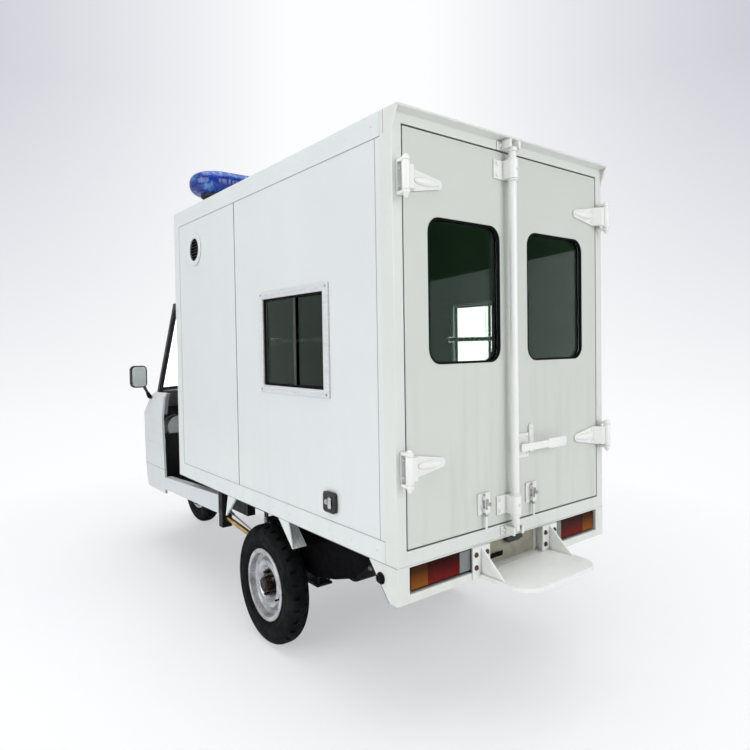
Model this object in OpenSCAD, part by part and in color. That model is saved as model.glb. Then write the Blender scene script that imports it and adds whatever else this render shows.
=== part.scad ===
// Ambulance tricycle: closed patient box on a ladder frame, open-sided cab, one steered front wheel.
// Millimetres; +X forward, +Y left, +Z up, origin on the floor under the middle of the outline.
// Stations are distances ahead of the rear face of the box.

/* [Patient box] */
// Outside width of the box
box_w = 1224; // [1140:1:1300]
// Outside length of the box
box_l = 2012; // [1900:1:2100]
// Height of the box's underside above the floor
box_z = 653; // [640:1:690]
// Height of the box from underside to roof
box_h = 1534; // [1450:1:1650]
// Thickness of the side, front and roof panels
wall_t = 30; // [24:1:40]
// Height of the rail along the foot of each side
rail_h = 75; // [60:1:95]
// Height of the trim along the top of each side
trim_h = 83; // [60:1:100]
// Width of the trim at the front corner of each side
corner_w = 73; // [55:1:90]
// How far rails and trims stand proud of the panels
trim_step = 3; // [2:0.5:5]
// Station of the joint between the two sheets of a side
seam_s = 1205; // [1000:1:1400]
// Width of the joint between the two sheets of a side
seam_w = 4; // [2:0.5:8]

/* [Rear frame and doors] */
// Width of each rear corner post
post_w = 43; // [38:1:50]
// Height of the beam under the doors
sill_h = 50; // [42:1:60]
// Height of the beam over the doors
header_h = 51; // [44:1:60]
// Depth of the rear frame
frame_d = 64; // [58:1:80]
// Width of the stop behind the door edges
stop_w = 22; // [16:1:28]
// Thickness of each rear door
door_t = 40; // [34:1:45]
// Gap round the doors
door_gap = 5; // [4:0.5:7]
// Gap between the two doors
door_split = 10; // [8:1:14]
// How far the rain lip over the doors reaches out
lip_out = 32; // [24:1:38]
// Thickness of the rain lip
lip_t = 8; // [6:1:12]

/* [Door windows] */
// Width of each door window
win_w = 368; // [330:1:390]
// Height of each door window
win_h = 507; // [460:1:560]
// Corner radius of each door window
win_r = 52; // [40:1:65]
// Distance of a door window's middle from the middle of the doors
win_y = 269; // [255:1:285]
// Height of a door window's middle above the box's underside
win_up = 935; // [880:1:980]
// Thickness of the door glass
pane_t = 8; // [5:1:12]
// Gap round the panes
pane_gap = 0.2; // [0.1:0.1:0.4]

/* [Door hinges] */
// Distance of the hinge pins behind the doors
pin_back = 40; // [38:1:44]
// Distance of the hinge pins inside the box sides
pin_in = 26; // [24:1:30]
// Radius of the hinge pins
pin_r = 7; // [5:0.5:8]
// Gap between pin and barrel
pin_gap = 0.3; // [0.2:0.1:0.4]
// Radius of the hinge barrels
barrel_r = 14; // [12:0.5:15]
// Length of the hinge barrels
barrel_l = 94; // [80:1:110]
// Height of the lower hinges above the box's underside
hinge_low = 334; // [280:1:380]
// Height of the upper hinges above the box's underside
hinge_high = 1301; // [1240:1:1340]
// Reach of the hinge blades from the pin
blade_l = 195; // [170:1:215]
// Thickness of the hinge blades
blade_t = 8; // [6:1:10]

/* [Door lock] */
// Distance of the lock bar from the middle of the doors
bar_y = 45; // [42:1:55]
// Distance of the lock bar behind the doors
bar_back = 36; // [32:1:42]
// Radius of the lock bar
bar_r = 15; // [12:0.5:17]
// Height of the lock bar's foot above the box's underside
bar_low = 27; // [22:1:34]
// Height of the lock bar
bar_l = 1464; // [1420:1:1480]
// Height of the handle above the box's underside
handle_up = 343; // [310:1:380]
// Reach of the handle across the right door
handle_l = 271; // [230:1:300]

/* [Side windows and fittings] */
// Length of the side window frames
side_win_l = 553; // [500:1:600]
// Height of the side window frames
side_win_h = 445; // [400:1:480]
// Station of the side window's middle
side_win_s = 664; // [620:1:700]
// Height of the side window's middle above the box's underside
side_win_up = 770; // [730:1:810]
// Width of the side window frame bars
side_bar_w = 32; // [26:1:38]
// Outside diameter of the vent ring
vent_d = 178; // [150:1:190]
// Diameter of the vent opening
vent_open_d = 135; // [110:1:140]
// Distance of the vent behind the box's front
vent_s = 310; // [232:1:412]
// Height of the vent above the box's underside
vent_up = 1289; // [1230:1:1320]
// Size of the square side lock
lock_size = 76; // [60:1:90]
// Station of the side lock
lock_s = 390; // [340:1:440]
// Height of the side lock above the box's underside
lock_up = 151; // [130:1:190]

/* [Roof light bar] */
// Length of the light bar across the roof
beacon_l = 1210; // [1000:1:1220]
// Depth of the light bar along the roof
beacon_d = 290; // [240:1:320]
// Height of the light bar's lens
beacon_h = 114; // [110:1:130]
// Distance of the light bar's middle behind the box's front
beacon_s = 267; // [212:1:500]
// Height of the light bar's feet
beacon_foot = 64; // [40:1:80]
// Radius of the light bar's long edges
beacon_edge = 52; // [40:1:54]

/* [Wheels] */
// Outside diameter of the tyres
tyre_d = 554; // [530:1:570]
// Width of the tyres
tyre_w = 104; // [98:1:110]
// Diameter of the bead seat of the rims
rim_d = 305; // [298:1:312]
// Diameter of the rim flanges
flange_d = 334; // [328:1:345]
// Width of the rims
rim_w = 88; // [84:1:92]
// Track between the middles of the rear tyres
track = 1058; // [1044:1:1070]
// Distance of the rear axle behind the box's front
rear_s = 978; // [952:1:1002]
// Distance of the front axle ahead of the box
front_s = 1188; // [1158:1:1218]
// Depth of the tread grooves
groove_d = 11; // [7:1:14]
// Number of tread blocks round a tyre
blocks = 30; // [24:1:36]

/* [Steering] */
// Lean of the steering axis
rake = 26; // [24:0.5:27]
// Distance of the steering axis behind the front axle
fork_set = 45; // [35:1:50]
// Radius of the fork legs
leg_r = 21; // [18:0.5:24]
// Gap between the tyre and the fork legs
leg_gap = 15; // [12:1:18]
// Radius of the steering stem
stem_r = 19; // [16:0.5:20]
// Outside radius of the head tube
head_r = 32; // [29:0.5:36]
// Length of the head tube
head_l = 150; // [130:1:165]
// Height of the head tube's foot along the steering axis
head_up = 540; // [525:1:560]
// Width of the handlebar
bars_w = 580; // [540:1:600]
// Height of the handlebar's grips above the floor
bars_z = 1032; // [1010:1:1050]
// How far the grips lie behind the steering axis
bars_back = 300; // [285:1:315]

/* [Cab] */
// Width of the cab over its sills
cab_w = 1100; // [1060:1:1130]
// Distance of the cowl's rear edge ahead of the box
cowl_s = 464; // [448:1:488]
// Distance of the nose ahead of the box
nose_s = 1093; // [1068:1:1118]
// Corner radius of the nose
nose_r = 300; // [285:1:320]
// Thickness of the cowl
cowl_t = 14; // [10:1:18]
// Height of the cowl's foot
cowl_low = 440; // [425:1:455]
// Height of the joint between upper and lower cowl
cowl_seam = 600; // [585:1:615]
// Height of the cowl's widest part
cowl_wide = 950; // [900:1:975]
// Height of the cowl's top
cowl_top = 1105; // [1090:1:1120]
// Height of the windscreen's top
screen_top = 1690; // [1660:1:1710]
// Rise of the cab roof above the windscreen's top
roof_top = 48; // [40:1:70]
// Height of the cab floor's upper face
floor_z = 484; // [476:1:490]
// Thickness of the cab floor
floor_t = 12; // [8:1:14]
// Radius of the headlamps
headlamp_r = 82; // [70:1:90]

/* [Chassis] */
// Distance of the rails from the middle
rail_y = 270; // [255:1:285]
// Width of the rails
rail_w = 50; // [44:1:56]
// Depth of the rails
rail_d = 80; // [70:1:86]
// Radius of the axle tube
axle_r = 38; // [34:1:42]
// Number of leaves in each spring
leaves = 5; // [3:1:6]
// Thickness of each leaf
leaf_t = 8; // [6:1:9]
// Width of each leaf
leaf_w = 56; // [50:1:60]

/* [Rear bumper and step] */
// Distance between the number plate's two holes
plate_span = 140; // [110:1:180]
// Radius of the number plate's holes
plate_hole_r = 3.5; // [2.5:0.5:5]
// Height of the bumper below the box
bumper_h = 129; // [120:1:140]
// Depth of the bumper
bumper_d = 40; // [36:1:50]
// Width of each tail lamp
lamp_w = 296; // [270:1:310]
// Height of each tail lamp
lamp_h = 76; // [66:1:84]
// Distance of a tail lamp's outer end from the side
lamp_in = 66; // [56:1:74]
// Height of the step's tread above the floor
step_z = 545; // [535:1:555]
// Reach of the step behind the doors
step_out = 233; // [200:1:260]
// Width of the step
step_w = 444; // [410:1:470]
// Corner radius of the step
step_r = 80; // [60:1:100]
// Depth of the step's rim
step_rim = 14; // [10:1:20]

/* [Hidden] */
$fn = 48;
tiny = 0.01;
thin = 1;
play = 0.3;
rear_at = box_l - rear_s;
front_at = box_l + front_s;
cowl_at = box_l + cowl_s;
nose_at = box_l + nose_s;
vent_at = box_l - vent_s;
beacon_at = box_l - beacon_s;
half_w = box_w / 2;
box_top = box_z + box_h;
panel_y = half_w - trim_step;
inner_y = half_w - wall_t;
open_y = half_w - post_w;
open_low = box_z + sill_h;
open_high = box_top - header_h;
door_low = open_low + door_gap;
door_high = open_high - door_gap;
door_edge = open_y - door_gap;
win_z = box_z + win_up;
pin_y = half_w - pin_in;
tyre_r = tyre_d / 2;
wheel_z = tyre_r;
rim_r = rim_d / 2;
flange_r = flange_d / 2;
wheel_y = track / 2;
cab_y = cab_w / 2;
roof_z = screen_top + roof_top;
steer_s = front_at - fork_set;
leg_y = tyre_w / 2 + leg_gap + leg_r;
guard_room = 34;
guard_r = tyre_r + guard_room;
guard_t = 5;
guard_front = 24;
guard_rear = 168;
front_reach = front_at + max(tyre_r, (guard_r + guard_t) * cos(guard_front));
mid_s = (front_reach - step_out) / 2;
low_rail_z = floor_z - floor_t;
bumper_low = box_z - bumper_h;
lamp_z = bumper_low + bumper_h * 0.6;
lamp_y = half_w - lamp_in - lamp_w / 2;
amber_w = lamp_w * 0.27;
clear_w = lamp_w * 0.2;
red_w = lamp_w - amber_w - clear_w;
gusset_in = 14;
gusset_y = step_w / 2 - gusset_in;
floor_h = 40;

// Chassis rails and cross members
rail_back = 60;
kick_in = 242;
kick_l = 90;
kick_at = box_l - kick_in;
low_l = 678;
low_end = box_l + low_l;
member_w = 40;
member_in = 14;
member_s = 110;
member_aft = 394;
member_fore = 406;
member_kick = 30;
cab_member_w = 36;
cab_member_rear = 98;
cab_member_front = 318;
cab_member_low = 4;
cab_member_top = 40;
brace_r = 24;
brace_lap = 10;
brace_in = 4;
brace_y = 20;
brace_sink = 3;

// Brackets under the cab and box
sill_w = 50;
sill_back_low = 6;
sill_back_high = 112;
sill_front_low = 15;
sill_front_high = 66;
post_gap = 526;
post_d = 46;
post_s = rear_at + post_gap;
hanger_in = 32;
hanger_y = cab_y - hanger_in;
hanger_w = 56;
hanger_low = 420;
bracket_w = 30;
bracket_rear = 48;
bracket_front = 408;
beam_h = 60;
beam_in = 4;

// Springs and rear axle
leaf_bend = 1500;
leaf_span = 470;
leaf_step = 84;
leaf_room = 200;
eye_out = 14;
eye_drop = 3;
eye_r = 17;
shackle_t = 8;
shackle_w = 36;
shackle_low = 22;
bolt_t = 8;
bolt_s = 52;
bolt_low = 16;
bolt_top = 18;
pad_l = 120;
pad_w = 88;
pad_t = 10;
drum_back = 72;
drum_face = 10;
drum_in = wheel_y - drum_back;
drum_out = wheel_y - drum_face;
drum_r = 106;
stub_r = 19;
stub_out = 35;
case_y = 62;
case_r = 112;
nose_l = 150;
pinion_r = 54;
pinion_up = 6;
shaft_r = 26;
shaft_up = 8;
shaft_lap = 20;
torque_r = 13;
torque_lap = 12;
torque_reach = 92;
torque_up = 42;
torque_in = 6;
torque_rise = 48;
arm_out = 108;
arm_w = 22;
arm_back = 24;
arm_front = 96;
arm_low = 6;
arm_high = 20;

// Lock bar guides and drop bolts
guide_low = 93;
guide_high = 162;
guide_near = 17;
guide_far = 72;
left_bolt_y = 190;
right_bolt_y = -90;

// Handlebar
riser_out = 14;
riser_y = 34;
riser_foot = 22;
riser_r = 14;
bend_back = 20;
bend_y = 110;
tube_bar_r = 12;
bar_lap = 2;
hand_out = 42;
hand_l = 134;
hand_r = 16;

// Engine and exhaust
engine_gap = 50;
engine_s = box_l + engine_gap;
engine_l = 338;
engine_w = 260;
engine_up = 46;
engine_down = 40;
sump_gap = 140;
sump_s = box_l + sump_gap;
sump_l = 170;
sump_w = 232;
sump_low = 318;
barrel_gap = 188;
barrel_deep = 110;
barrel_w = 128;
barrel_up = 164;
fin_gap = 168;
fin_deep = 150;
fin_w = 168;
fin_t = 8;
fin_pitch = 16;
fin_up = 52;
silencer_y = -150;
silencer_z = 510;
silencer_r = 55;
silencer_l = 390;
silencer_gap = 196;
tail_l = 110;
pipe_r = 20;
pipe_bend = 866;
pipe_bend_z = 430;
pipe_knee = 52;
pipe_knee_y = -100;
pipe_knee_z = 350;
pipe_port_y = -88;
strap_gap = 411;
strap_w = 30;
strap_t = 16;
strap_lap = 5;

// Cab
foot_in = 6;
foot_back = 20;
seam_in = 3;
seam_out = 10;
belly_out = 6;
belly_back = 5;
shoulder_drop = 32;
shoulder_in = 8;
shoulder_back = 118;
brow_in = 24;
brow_back = 190;
core_back = 60;
screen_foot_back = 215;
screen_foot_in = 26;
screen_foot_round = 20;
screen_head_back = 540;
screen_head_in = 48;
screen_head_round = 60;
pillar_t = 26;
glass_in = 8;
glass_t = 7;
screen_low = 24;
screen_high = 44;
screen_foot_edge = 92;
screen_head_edge = 116;
entry_high = 40;
entry_foot = 145;
entry_head = 125;
eave_back = 536;
eave_in = 44;
eave_round = 56;
crown_back = 620;
crown_in = 96;
crown_round = 90;
roof_rim = 26;
roof_core_round = 14;
roof_core_back = 30;
roof_core_in = 30;
roof_core_top = 20;
roof_sheet = 14;
scuttle_t = 4;
scuttle_l = 289;
scuttle_s = cowl_at + scuttle_l;
arch_y = 345;
arch_up = 110;
arch_back = 290;
arch_foot_back = 180;
dash_t = 24;
dash_h = 140;
dash_in = 8;
lamp_eye_l = 118;
lamp_eye_back = 130;
cowl_gap = 2;
lamp_eye_y = 265;
lamp_eye_z = 812;
floor_l = 633;
floor_back = 30;
floor_cut = 38;
floor_cut_l = 362;
floor_cut_w = 280;
kick_board_t = 10;
kick_board_in = 70;
kick_board_h = 330;
seat_gap = 22;
seat_l = 390;
seat_w = 600;
seat_z = 690;
seat_wall = 8;
cushion_l = 392;
cushion_w = 620;
cushion_t = 84;
cushion_s = 212;
cushion_r = 50;
rest_w = 560;
rest_h = 380;
rest_t = 68;
rest_z = 1000;
rest_r = 60;
mirror_s = 704;
mirror_w = 106;
mirror_h = 150;
mirror_t = 36;
mirror_r = 30;
mirror_y = 76;
mirror_z = 1212;
mirror_foot = 0.9;
mirror_foot_z = 1058;
mirror_bend_y = 36;
mirror_bend_z = 1130;
mirror_arm_r = 9;
mirror_ball_r = 11;

// Fittings on the box
beacon_base_t = 14;
beacon_base_in = 130;
beacon_base_r = 70;
beacon_pad_l = 180;
beacon_pad_w = 80;
beacon_pad_in = 110;
rail_room = 34;
rail_lift = 4;
rail_l = 500;
rail_r = 12;
rail_foot = 30;
rail_foot_in = 12;
rail_foot_end = 18;
vent_ring_t = 7;
vent_wall = 6;
vent_hub_r = 24;
vent_blade = 18;
vent_blade_t = 6;
lock_proud = 12;
lock_r = 10;
frame_proud = 8;
slide_lap = 14;
slide_t = 5;
slide_in = 16;
slide_out = 9;

// Rear bumper and step
bumper_sheet = 6;
bumper_lip = 30;
bumper_post = 62;
bumper_fold = 12;
bumper_rim = 6;
lamp_room = 12;
lamp_back = 8;
quarter_foot = 6;
quarter_top = 115;
quarter_knee = 112;
quarter_drop = 8;
step_sheet = 5;
step_plate = 8;
step_flange_w = 92;
gusset_t = 8;
gusset_l = 108;

// Mudguards and splash aprons
cheek_t = 5;
cheek_in = 8;
flap_drop = 112;
flap_high = 214;
flap_out = 306;
flap_low = 334;
flap_t = 8;
apron_t = 4;
apron_out = 166;
apron_y = rail_y + apron_out;
apron_front = 101;
apron_rear = 690;
apron_deep = 300;
rear_apron = [
    [-apron_front, 0],
    [-apron_front, -0.66 * apron_deep],
    [-126, -286],
    [-239, -apron_deep],
    [-403, -265],
    [-552, -216],
    [-640, -140],
    [-apron_rear, 0]
];
front_apron_top = 170;
front_apron_foot = 205;
front_apron_h = 105;
front_apron_gap = 20;

// Stretcher
cot_in = 110;
cot_front = 82;
cot_y = 20;
cot_wall = 42;
cot_up = 150;
cot_tube_r = 16;
cot_bar_r = 12;
cot_leg_r = 14;
cot_bar_in = 60;
cot_bar_mid = 640;
cot_leg_in = 120;
mattress_in = 22;
mattress_end = 10;
mattress_t = 80;
mattress_r = 60;

paint = "white";
black = [0.08, 0.08, 0.09];
steel = [0.7, 0.71, 0.72];
dark = [0.2, 0.2, 0.22];
smoke = [0.12, 0.14, 0.15, 0.8];

// Moves a module drawn by stations so that the outline's middle stands over the origin.
module by_station() translate([-mid_s, 0, 0]) children();

// Draws its child on both sides of the middle plane.
module both_sides() {
    children();
    mirror([0, 1, 0]) children();
}

// Rectangle with round corners about the origin.
module round_rect(w, h, r) {
    square([w - 2 * r, h], center = true);
    square([w, h - 2 * r], center = true);
    for (sx = [-1, 1])
        for (sy = [-1, 1])
            translate([sx * (w / 2 - r), sy * (h / 2 - r)]) circle(r);
}

// Outline in station and height, thickened to the left from y.
module side_plate(y, t) translate([0, y + t, 0]) rotate([90, 0, 0]) linear_extrude(t) children();

// Outline in y and height, thickened forward from a station.
module face_plate(s, t) translate([s, 0, 0]) rotate([90, 0, 90]) linear_extrude(t) children();

// Block between two corners.
module block(low, high) translate(low) cube(high - low);

// Round bar between two points.
module rod(a, b, r) {
    d = b - a;
    flat = norm([d[0], d[1]]);
    translate(a) rotate([0, atan2(flat, d[2]), atan2(d[1], d[0])]) cylinder(h = norm(d), r = r);
}

// Round bar along y.
module cross_rod(s, y0, y1, z, r) translate([s, y0, z]) rotate([-90, 0, 0]) cylinder(h = y1 - y0, r = r);

// Steering frame: its z runs up the steering axis.
module on_steering() translate([steer_s, 0, wheel_z]) rotate([0, -rake, 0]) children();

// Plan outline of the cab: straight sides and a nose with round corners.
module cab_plan(back, nose, y, r) {
    intersection() {
        translate([back, -y]) square([nose - back, 2 * y]);
        union() {
            translate([back, -y]) square([nose - r - back, 2 * y]);
            translate([back, r - y]) square([nose - back, 2 * (y - r)]);
            for (side = [-1, 1]) translate([nose - r, side * (y - r)]) circle(r, $fn = 64);
        }
    }
}

// Levels of the cowl: height, half width, nose station.
cowl_levels = [
    [cowl_low, cab_y - foot_in, nose_at - foot_back],
    [cowl_seam, cab_y - seam_in, nose_at + seam_out],
    [cowl_wide, cab_y + belly_out, nose_at - belly_back],
    [cowl_top - shoulder_drop, cab_y - shoulder_in, nose_at - shoulder_back],
    [cowl_top, cab_y - brow_in, nose_at - brow_back]
];

// One level of the cowl as a thin slice.
module cowl_slice(row, inset, back) {
    z = row[0];
    translate([0, 0, z - thin]) linear_extrude(thin)
        cab_plan(cowl_at - back, row[2] - inset, row[1] - inset, nose_r - inset);
}

// Cowl body between two levels.
module cowl_body(first, last, inset, back) {
    for (i = [first : last - 1])
        hull() {
            cowl_slice(cowl_levels[i], inset, back);
            cowl_slice(cowl_levels[i + 1], inset, back);
        }
}

// Cab space between windscreen foot and head.
module canopy(inset, back) {
    hull() {
        translate([0, 0, cowl_top]) linear_extrude(thin)
            cab_plan(box_l - back, nose_at - screen_foot_back - inset, cab_y - screen_foot_in - inset,
                     nose_r - screen_foot_round - inset);
        translate([0, 0, screen_top - thin]) linear_extrude(thin)
            cab_plan(box_l - back, nose_at - screen_head_back - inset, cab_y - screen_head_in - inset,
                     nose_r - screen_head_round - inset);
    }
}

// Outline of the windscreen seen from the front.
module screen_outline(grow) {
    low = cowl_top + screen_low;
    high = screen_top - screen_high;
    foot = cab_y - screen_foot_edge;
    head = cab_y - screen_head_edge;
    polygon([
        [-foot - grow, low - grow],
        [foot + grow, low - grow],
        [head + grow, high + grow],
        [-head - grow, high + grow]
    ]);
}

// Side opening of the cab: everything behind the sloping pillars.
module door_opening() {
    low = cowl_top - 2 * thin;
    high = screen_top - entry_high;
    side_plate(-cab_y, cab_w)
        polygon([[box_l - thin, low], [cowl_at + entry_foot, low], [cowl_at - entry_head, high],
            [box_l - thin, high]]);
}

module chassis_frame() color(black) {
    both_sides() {
        block([rail_back, rail_y - rail_w / 2, box_z - rail_d],
            [kick_at + kick_l, rail_y + rail_w / 2, box_z]);
        block([kick_at, rail_y - rail_w / 2, low_rail_z - rail_d],
              [kick_at + kick_l, rail_y + rail_w / 2, box_z - rail_d]);
        block([kick_at + kick_l, rail_y - rail_w / 2, low_rail_z - rail_d],
              [low_end, rail_y + rail_w / 2, low_rail_z]);
    }
    for (s = [member_s, rear_at - member_aft, rear_at + member_fore, kick_at + member_kick])
        block([s, tiny - rail_y, box_z - rail_d + member_in], [s + member_w, rail_y, box_z - member_in]);
    for (s = [box_l + cab_member_rear, box_l + cab_member_front])
        block([s, -rail_y, low_rail_z - rail_d + cab_member_low],
              [s + cab_member_w, rail_y, low_rail_z - cab_member_top]);
    on_steering() difference() {
        translate([0, 0, head_up]) cylinder(h = head_l, r = head_r);
        translate([0, 0, head_up - thin]) cylinder(h = head_l + 2 * thin, r = stem_r + play);
    }
    head_x = steer_s - (head_up + head_l * 0.5) * sin(rake);
    head_z = wheel_z + (head_up + head_l * 0.5) * cos(rake);
    both_sides() difference() {
        rod([low_end - brace_lap, rail_y - brace_in, low_rail_z - rail_d / 2],
            [head_x - brace_in, brace_y, head_z], brace_r);
        on_steering() cylinder(h = head_up + 2 * head_l, r = head_r - brace_sink);
    }
}

module outriggers() color(black) {
    both_sides() {
        for (s = [box_l + bracket_rear, box_l + bracket_front])
            block([s, rail_y + rail_w / 2, low_rail_z - bracket_w],
                [s + bracket_w, cab_y - sill_w, low_rail_z]);
        block([post_s, rail_y + rail_w / 2, box_z - beam_h], [post_s + post_d, cab_y - beam_in, box_z]);
        block([post_s, hanger_y - hanger_w / 2, hanger_low],
              [post_s + post_d, hanger_y + hanger_w / 2, box_z - beam_h + tiny]);
    }
}

module leaf_springs() color(dark) {
    seat_up = wheel_z + axle_r;
    pack_t = leaves * leaf_t;
    bolt_foot = wheel_z - axle_r - bolt_low;
    both_sides() {
        side_plate(rail_y - leaf_w / 2, leaf_w)
            for (i = [0 : leaves - 1])
                intersection() {
                    translate([rear_at, seat_up + leaf_bend + pack_t]) difference() {
                        circle(leaf_bend + (i + 1) * leaf_t - play, $fn = 360);
                        circle(leaf_bend + i * leaf_t, $fn = 360);
                    }
                    translate([rear_at - leaf_span + i * leaf_step, seat_up - leaf_t])
                        square([2 * (leaf_span - i * leaf_step), leaf_room]);
                }
        for (end = [-1, 1]) {
            eye_s = rear_at + end * (leaf_span + eye_out);
            leaf_sag = sqrt(leaf_bend * leaf_bend - leaf_span * leaf_span);
            eye_z = seat_up + pack_t + leaf_bend - leaf_sag - eye_drop;
            cross_rod(eye_s, rail_y - leaf_w / 2, rail_y + leaf_w / 2, eye_z, eye_r);
            for (y = [rail_y - leaf_w / 2 - shackle_t - play, rail_y + leaf_w / 2 + play])
                block([eye_s - shackle_w / 2, y, eye_z - shackle_low],
                      [eye_s + shackle_w / 2, y + shackle_t, box_z - rail_d]);
        }
        for (s = [rear_at - bolt_s, rear_at + bolt_s - bolt_t])
            for (y = [rail_y - leaf_w / 2 - bolt_t, rail_y + leaf_w / 2])
                block([s, y, bolt_foot], [s + bolt_t, y + bolt_t, seat_up + pack_t + bolt_top]);
        block([rear_at - pad_l / 2, rail_y - pad_w / 2, bolt_foot - pad_t],
              [rear_at + pad_l / 2, rail_y + pad_w / 2, bolt_foot]);
    }
}

module rear_axle() color(dark) {
    end_y = wheel_y + stub_out;
    pinion_z = wheel_z + pinion_up;
    translate([rear_at, 0, wheel_z]) rotate([-90, 0, 0]) rotate_extrude() polygon([
        [0, -end_y],
        [stub_r, -end_y],
        [stub_r, -drum_out],
        [drum_r, -drum_out],
        [drum_r, -drum_in],
        [axle_r, -drum_in],
        [axle_r, -case_y],
        [case_r, -case_y],
        [case_r, case_y],
        [axle_r, case_y],
        [axle_r, drum_in],
        [drum_r, drum_in],
        [drum_r, drum_out],
        [stub_r, drum_out],
        [stub_r, end_y],
        [0, end_y]
    ]);
    rod([rear_at, 0, pinion_z], [rear_at + nose_l, 0, pinion_z], pinion_r);
}

module drive_shaft() color(black) {
    rear_end = [rear_at + nose_l - shaft_lap, 0, wheel_z + shaft_up];
    front_end = [engine_s + shaft_lap, 0, low_rail_z - shaft_r];
    difference() {
        rod(rear_end, front_end, shaft_r);
        block([rear_at, -axle_r, wheel_z - 2 * axle_r], [rear_at + nose_l, axle_r, wheel_z + 2 * axle_r]);
        block([engine_s, -axle_r, wheel_z], [engine_s + 2 * shaft_lap, axle_r, box_z]);
    }
}

module torque_rods() color([0.75, 0.6, 0.25]) {
    arm_y = rail_y + arm_out;
    both_sides() difference() {
        union() {
            rod([rear_at + torque_reach, arm_y + arm_w / 2, wheel_z + torque_up],
                [post_s + torque_lap, hanger_y - torque_in, hanger_low + torque_rise], torque_r);
            block([rear_at - arm_back, arm_y, wheel_z + axle_r - arm_low],
                  [rear_at + arm_front, arm_y + arm_w, wheel_z + axle_r + arm_high]);
        }
        cross_rod(rear_at, 0, wheel_y, wheel_z, axle_r + play);
        block([post_s, 0, hanger_low], [post_s + post_d, half_w, box_z]);
    }
}

module engine() color([0.55, 0.56, 0.57]) {
    case_low = low_rail_z - engine_down;
    case_high = low_rail_z + engine_up;
    barrel_s = box_l + barrel_gap;
    fin_s = box_l + fin_gap;
    block([engine_s, -engine_w / 2, case_low], [engine_s + engine_l, engine_w / 2, case_high]);
    block([sump_s, -sump_w / 2, sump_low], [sump_s + sump_l, sump_w / 2, case_low + tiny]);
    for (i = [0 : 6])
        translate([fin_s, -fin_w / 2, low_rail_z + fin_up + i * fin_pitch]) cube([fin_deep, fin_w, fin_t]);
    block([barrel_s, -barrel_w / 2, case_high - tiny],
        [barrel_s + barrel_deep, barrel_w / 2, low_rail_z + barrel_up]);
}

module exhaust() color(steel) {
    y = silencer_y;
    z = silencer_z;
    can_s = rear_at + silencer_gap;
    can_end = can_s + silencer_l;
    bend_s = rear_at + pipe_bend;
    knee_s = box_l + pipe_knee;
    strap_s = rear_at + strap_gap;
    rod([can_s, y, z], [can_end, y, z], silencer_r);
    rod([can_s - tail_l, y, z], [can_s + thin, y, z], pipe_r);
    rod([can_end - thin, y, z], [bend_s, y, pipe_bend_z], pipe_r);
    rod([bend_s - 5 * thin, y, pipe_bend_z + thin], [knee_s, pipe_knee_y, pipe_knee_z], pipe_r);
    difference() {
        rod([knee_s - 6 * thin, pipe_knee_y - thin, pipe_knee_z + thin],
            [sump_s + pipe_r, pipe_port_y, pipe_knee_z], pipe_r);
        block([sump_s, -sump_w / 2, sump_low], [sump_s + 2 * pipe_r, 0, low_rail_z - engine_down]);
    }
    block([strap_s, y - strap_t / 2, z + silencer_r - strap_lap],
          [strap_s + strap_w, y + strap_t / 2, box_z - rail_d + member_in]);
}

module cab_floor() color(black) {
    front_end = box_l + floor_l;
    half = cab_y - sill_w;
    board = cab_y - kick_board_in;
    difference() {
        block([box_l - floor_back, -half, floor_z - floor_t], [front_end, half, floor_z]);
        block([box_l + floor_cut, -floor_cut_w / 2, floor_z - 2 * floor_t],
              [box_l + floor_cut + floor_cut_l, floor_cut_w / 2, floor_z + thin]);
    }
    block([front_end - kick_board_t, -board, floor_z - tiny], [front_end, board, floor_z + kick_board_h]);
}

module cab_sills() color(paint) {
    back_s = post_s + post_d + thin;
    both_sides() side_plate(cab_y - sill_w, sill_w)
        polygon([
            [back_s, floor_z + sill_back_low],
            [cowl_at, floor_z - sill_front_low],
            [cowl_at, floor_z + sill_front_high],
            [back_s, floor_z + sill_back_high]
        ]);
}

module front_cowl() color(paint) {
    difference() {
        cowl_body(1, 4, 0, 0);
        translate([0, 0, -scuttle_t]) cowl_body(0, 4, cowl_t, core_back);
        intersection() {
            translate([0, 0, thin]) cowl_body(2, 4, cowl_t, core_back);
            block([cowl_at - core_back, -cab_w, cowl_wide], [scuttle_s, cab_w, cowl_top + 2 * thin]);
        }
        block([cowl_at + arch_back, -arch_y, cowl_seam - core_back],
            [nose_at + core_back, arch_y, cowl_seam + arch_up]);
        for (side = [-1, 1])
            translate([nose_at - 2 * lamp_eye_l, side * lamp_eye_y, lamp_eye_z]) rotate([0, 90, 0])
                cylinder(h = 4 * lamp_eye_l, r = headlamp_r + play);
    }
}

module lower_cowl() color(paint) {
    difference() {
        intersection() {
            cowl_body(0, 1, 0, 0);
            block([cowl_at, -cab_w, cowl_low - cowl_gap],
                [nose_at + core_back, cab_w, cowl_seam - thin - cowl_gap]);
        }
        translate([0, 0, -thin]) cowl_body(0, 1, cowl_t, core_back);
        block([cowl_at + arch_foot_back, -arch_y, cowl_low - core_back],
            [nose_at + core_back, arch_y, cowl_seam + core_back]);
    }
}

module dash() color([0.45, 0.46, 0.47]) {
    difference() {
        intersection() {
            translate([0, 0, -scuttle_t]) cowl_body(2, 4, cowl_t, 0);
            block([cowl_at + dash_in, -cab_w, cowl_top - dash_h], [nose_at, cab_w, cowl_top - scuttle_t]);
        }
        translate([0, 0, -scuttle_t]) cowl_body(2, 4, cowl_t + dash_t, core_back);
        translate([0, 0, thin]) cowl_body(3, 4, cowl_t + dash_t, core_back);
    }
}

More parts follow.
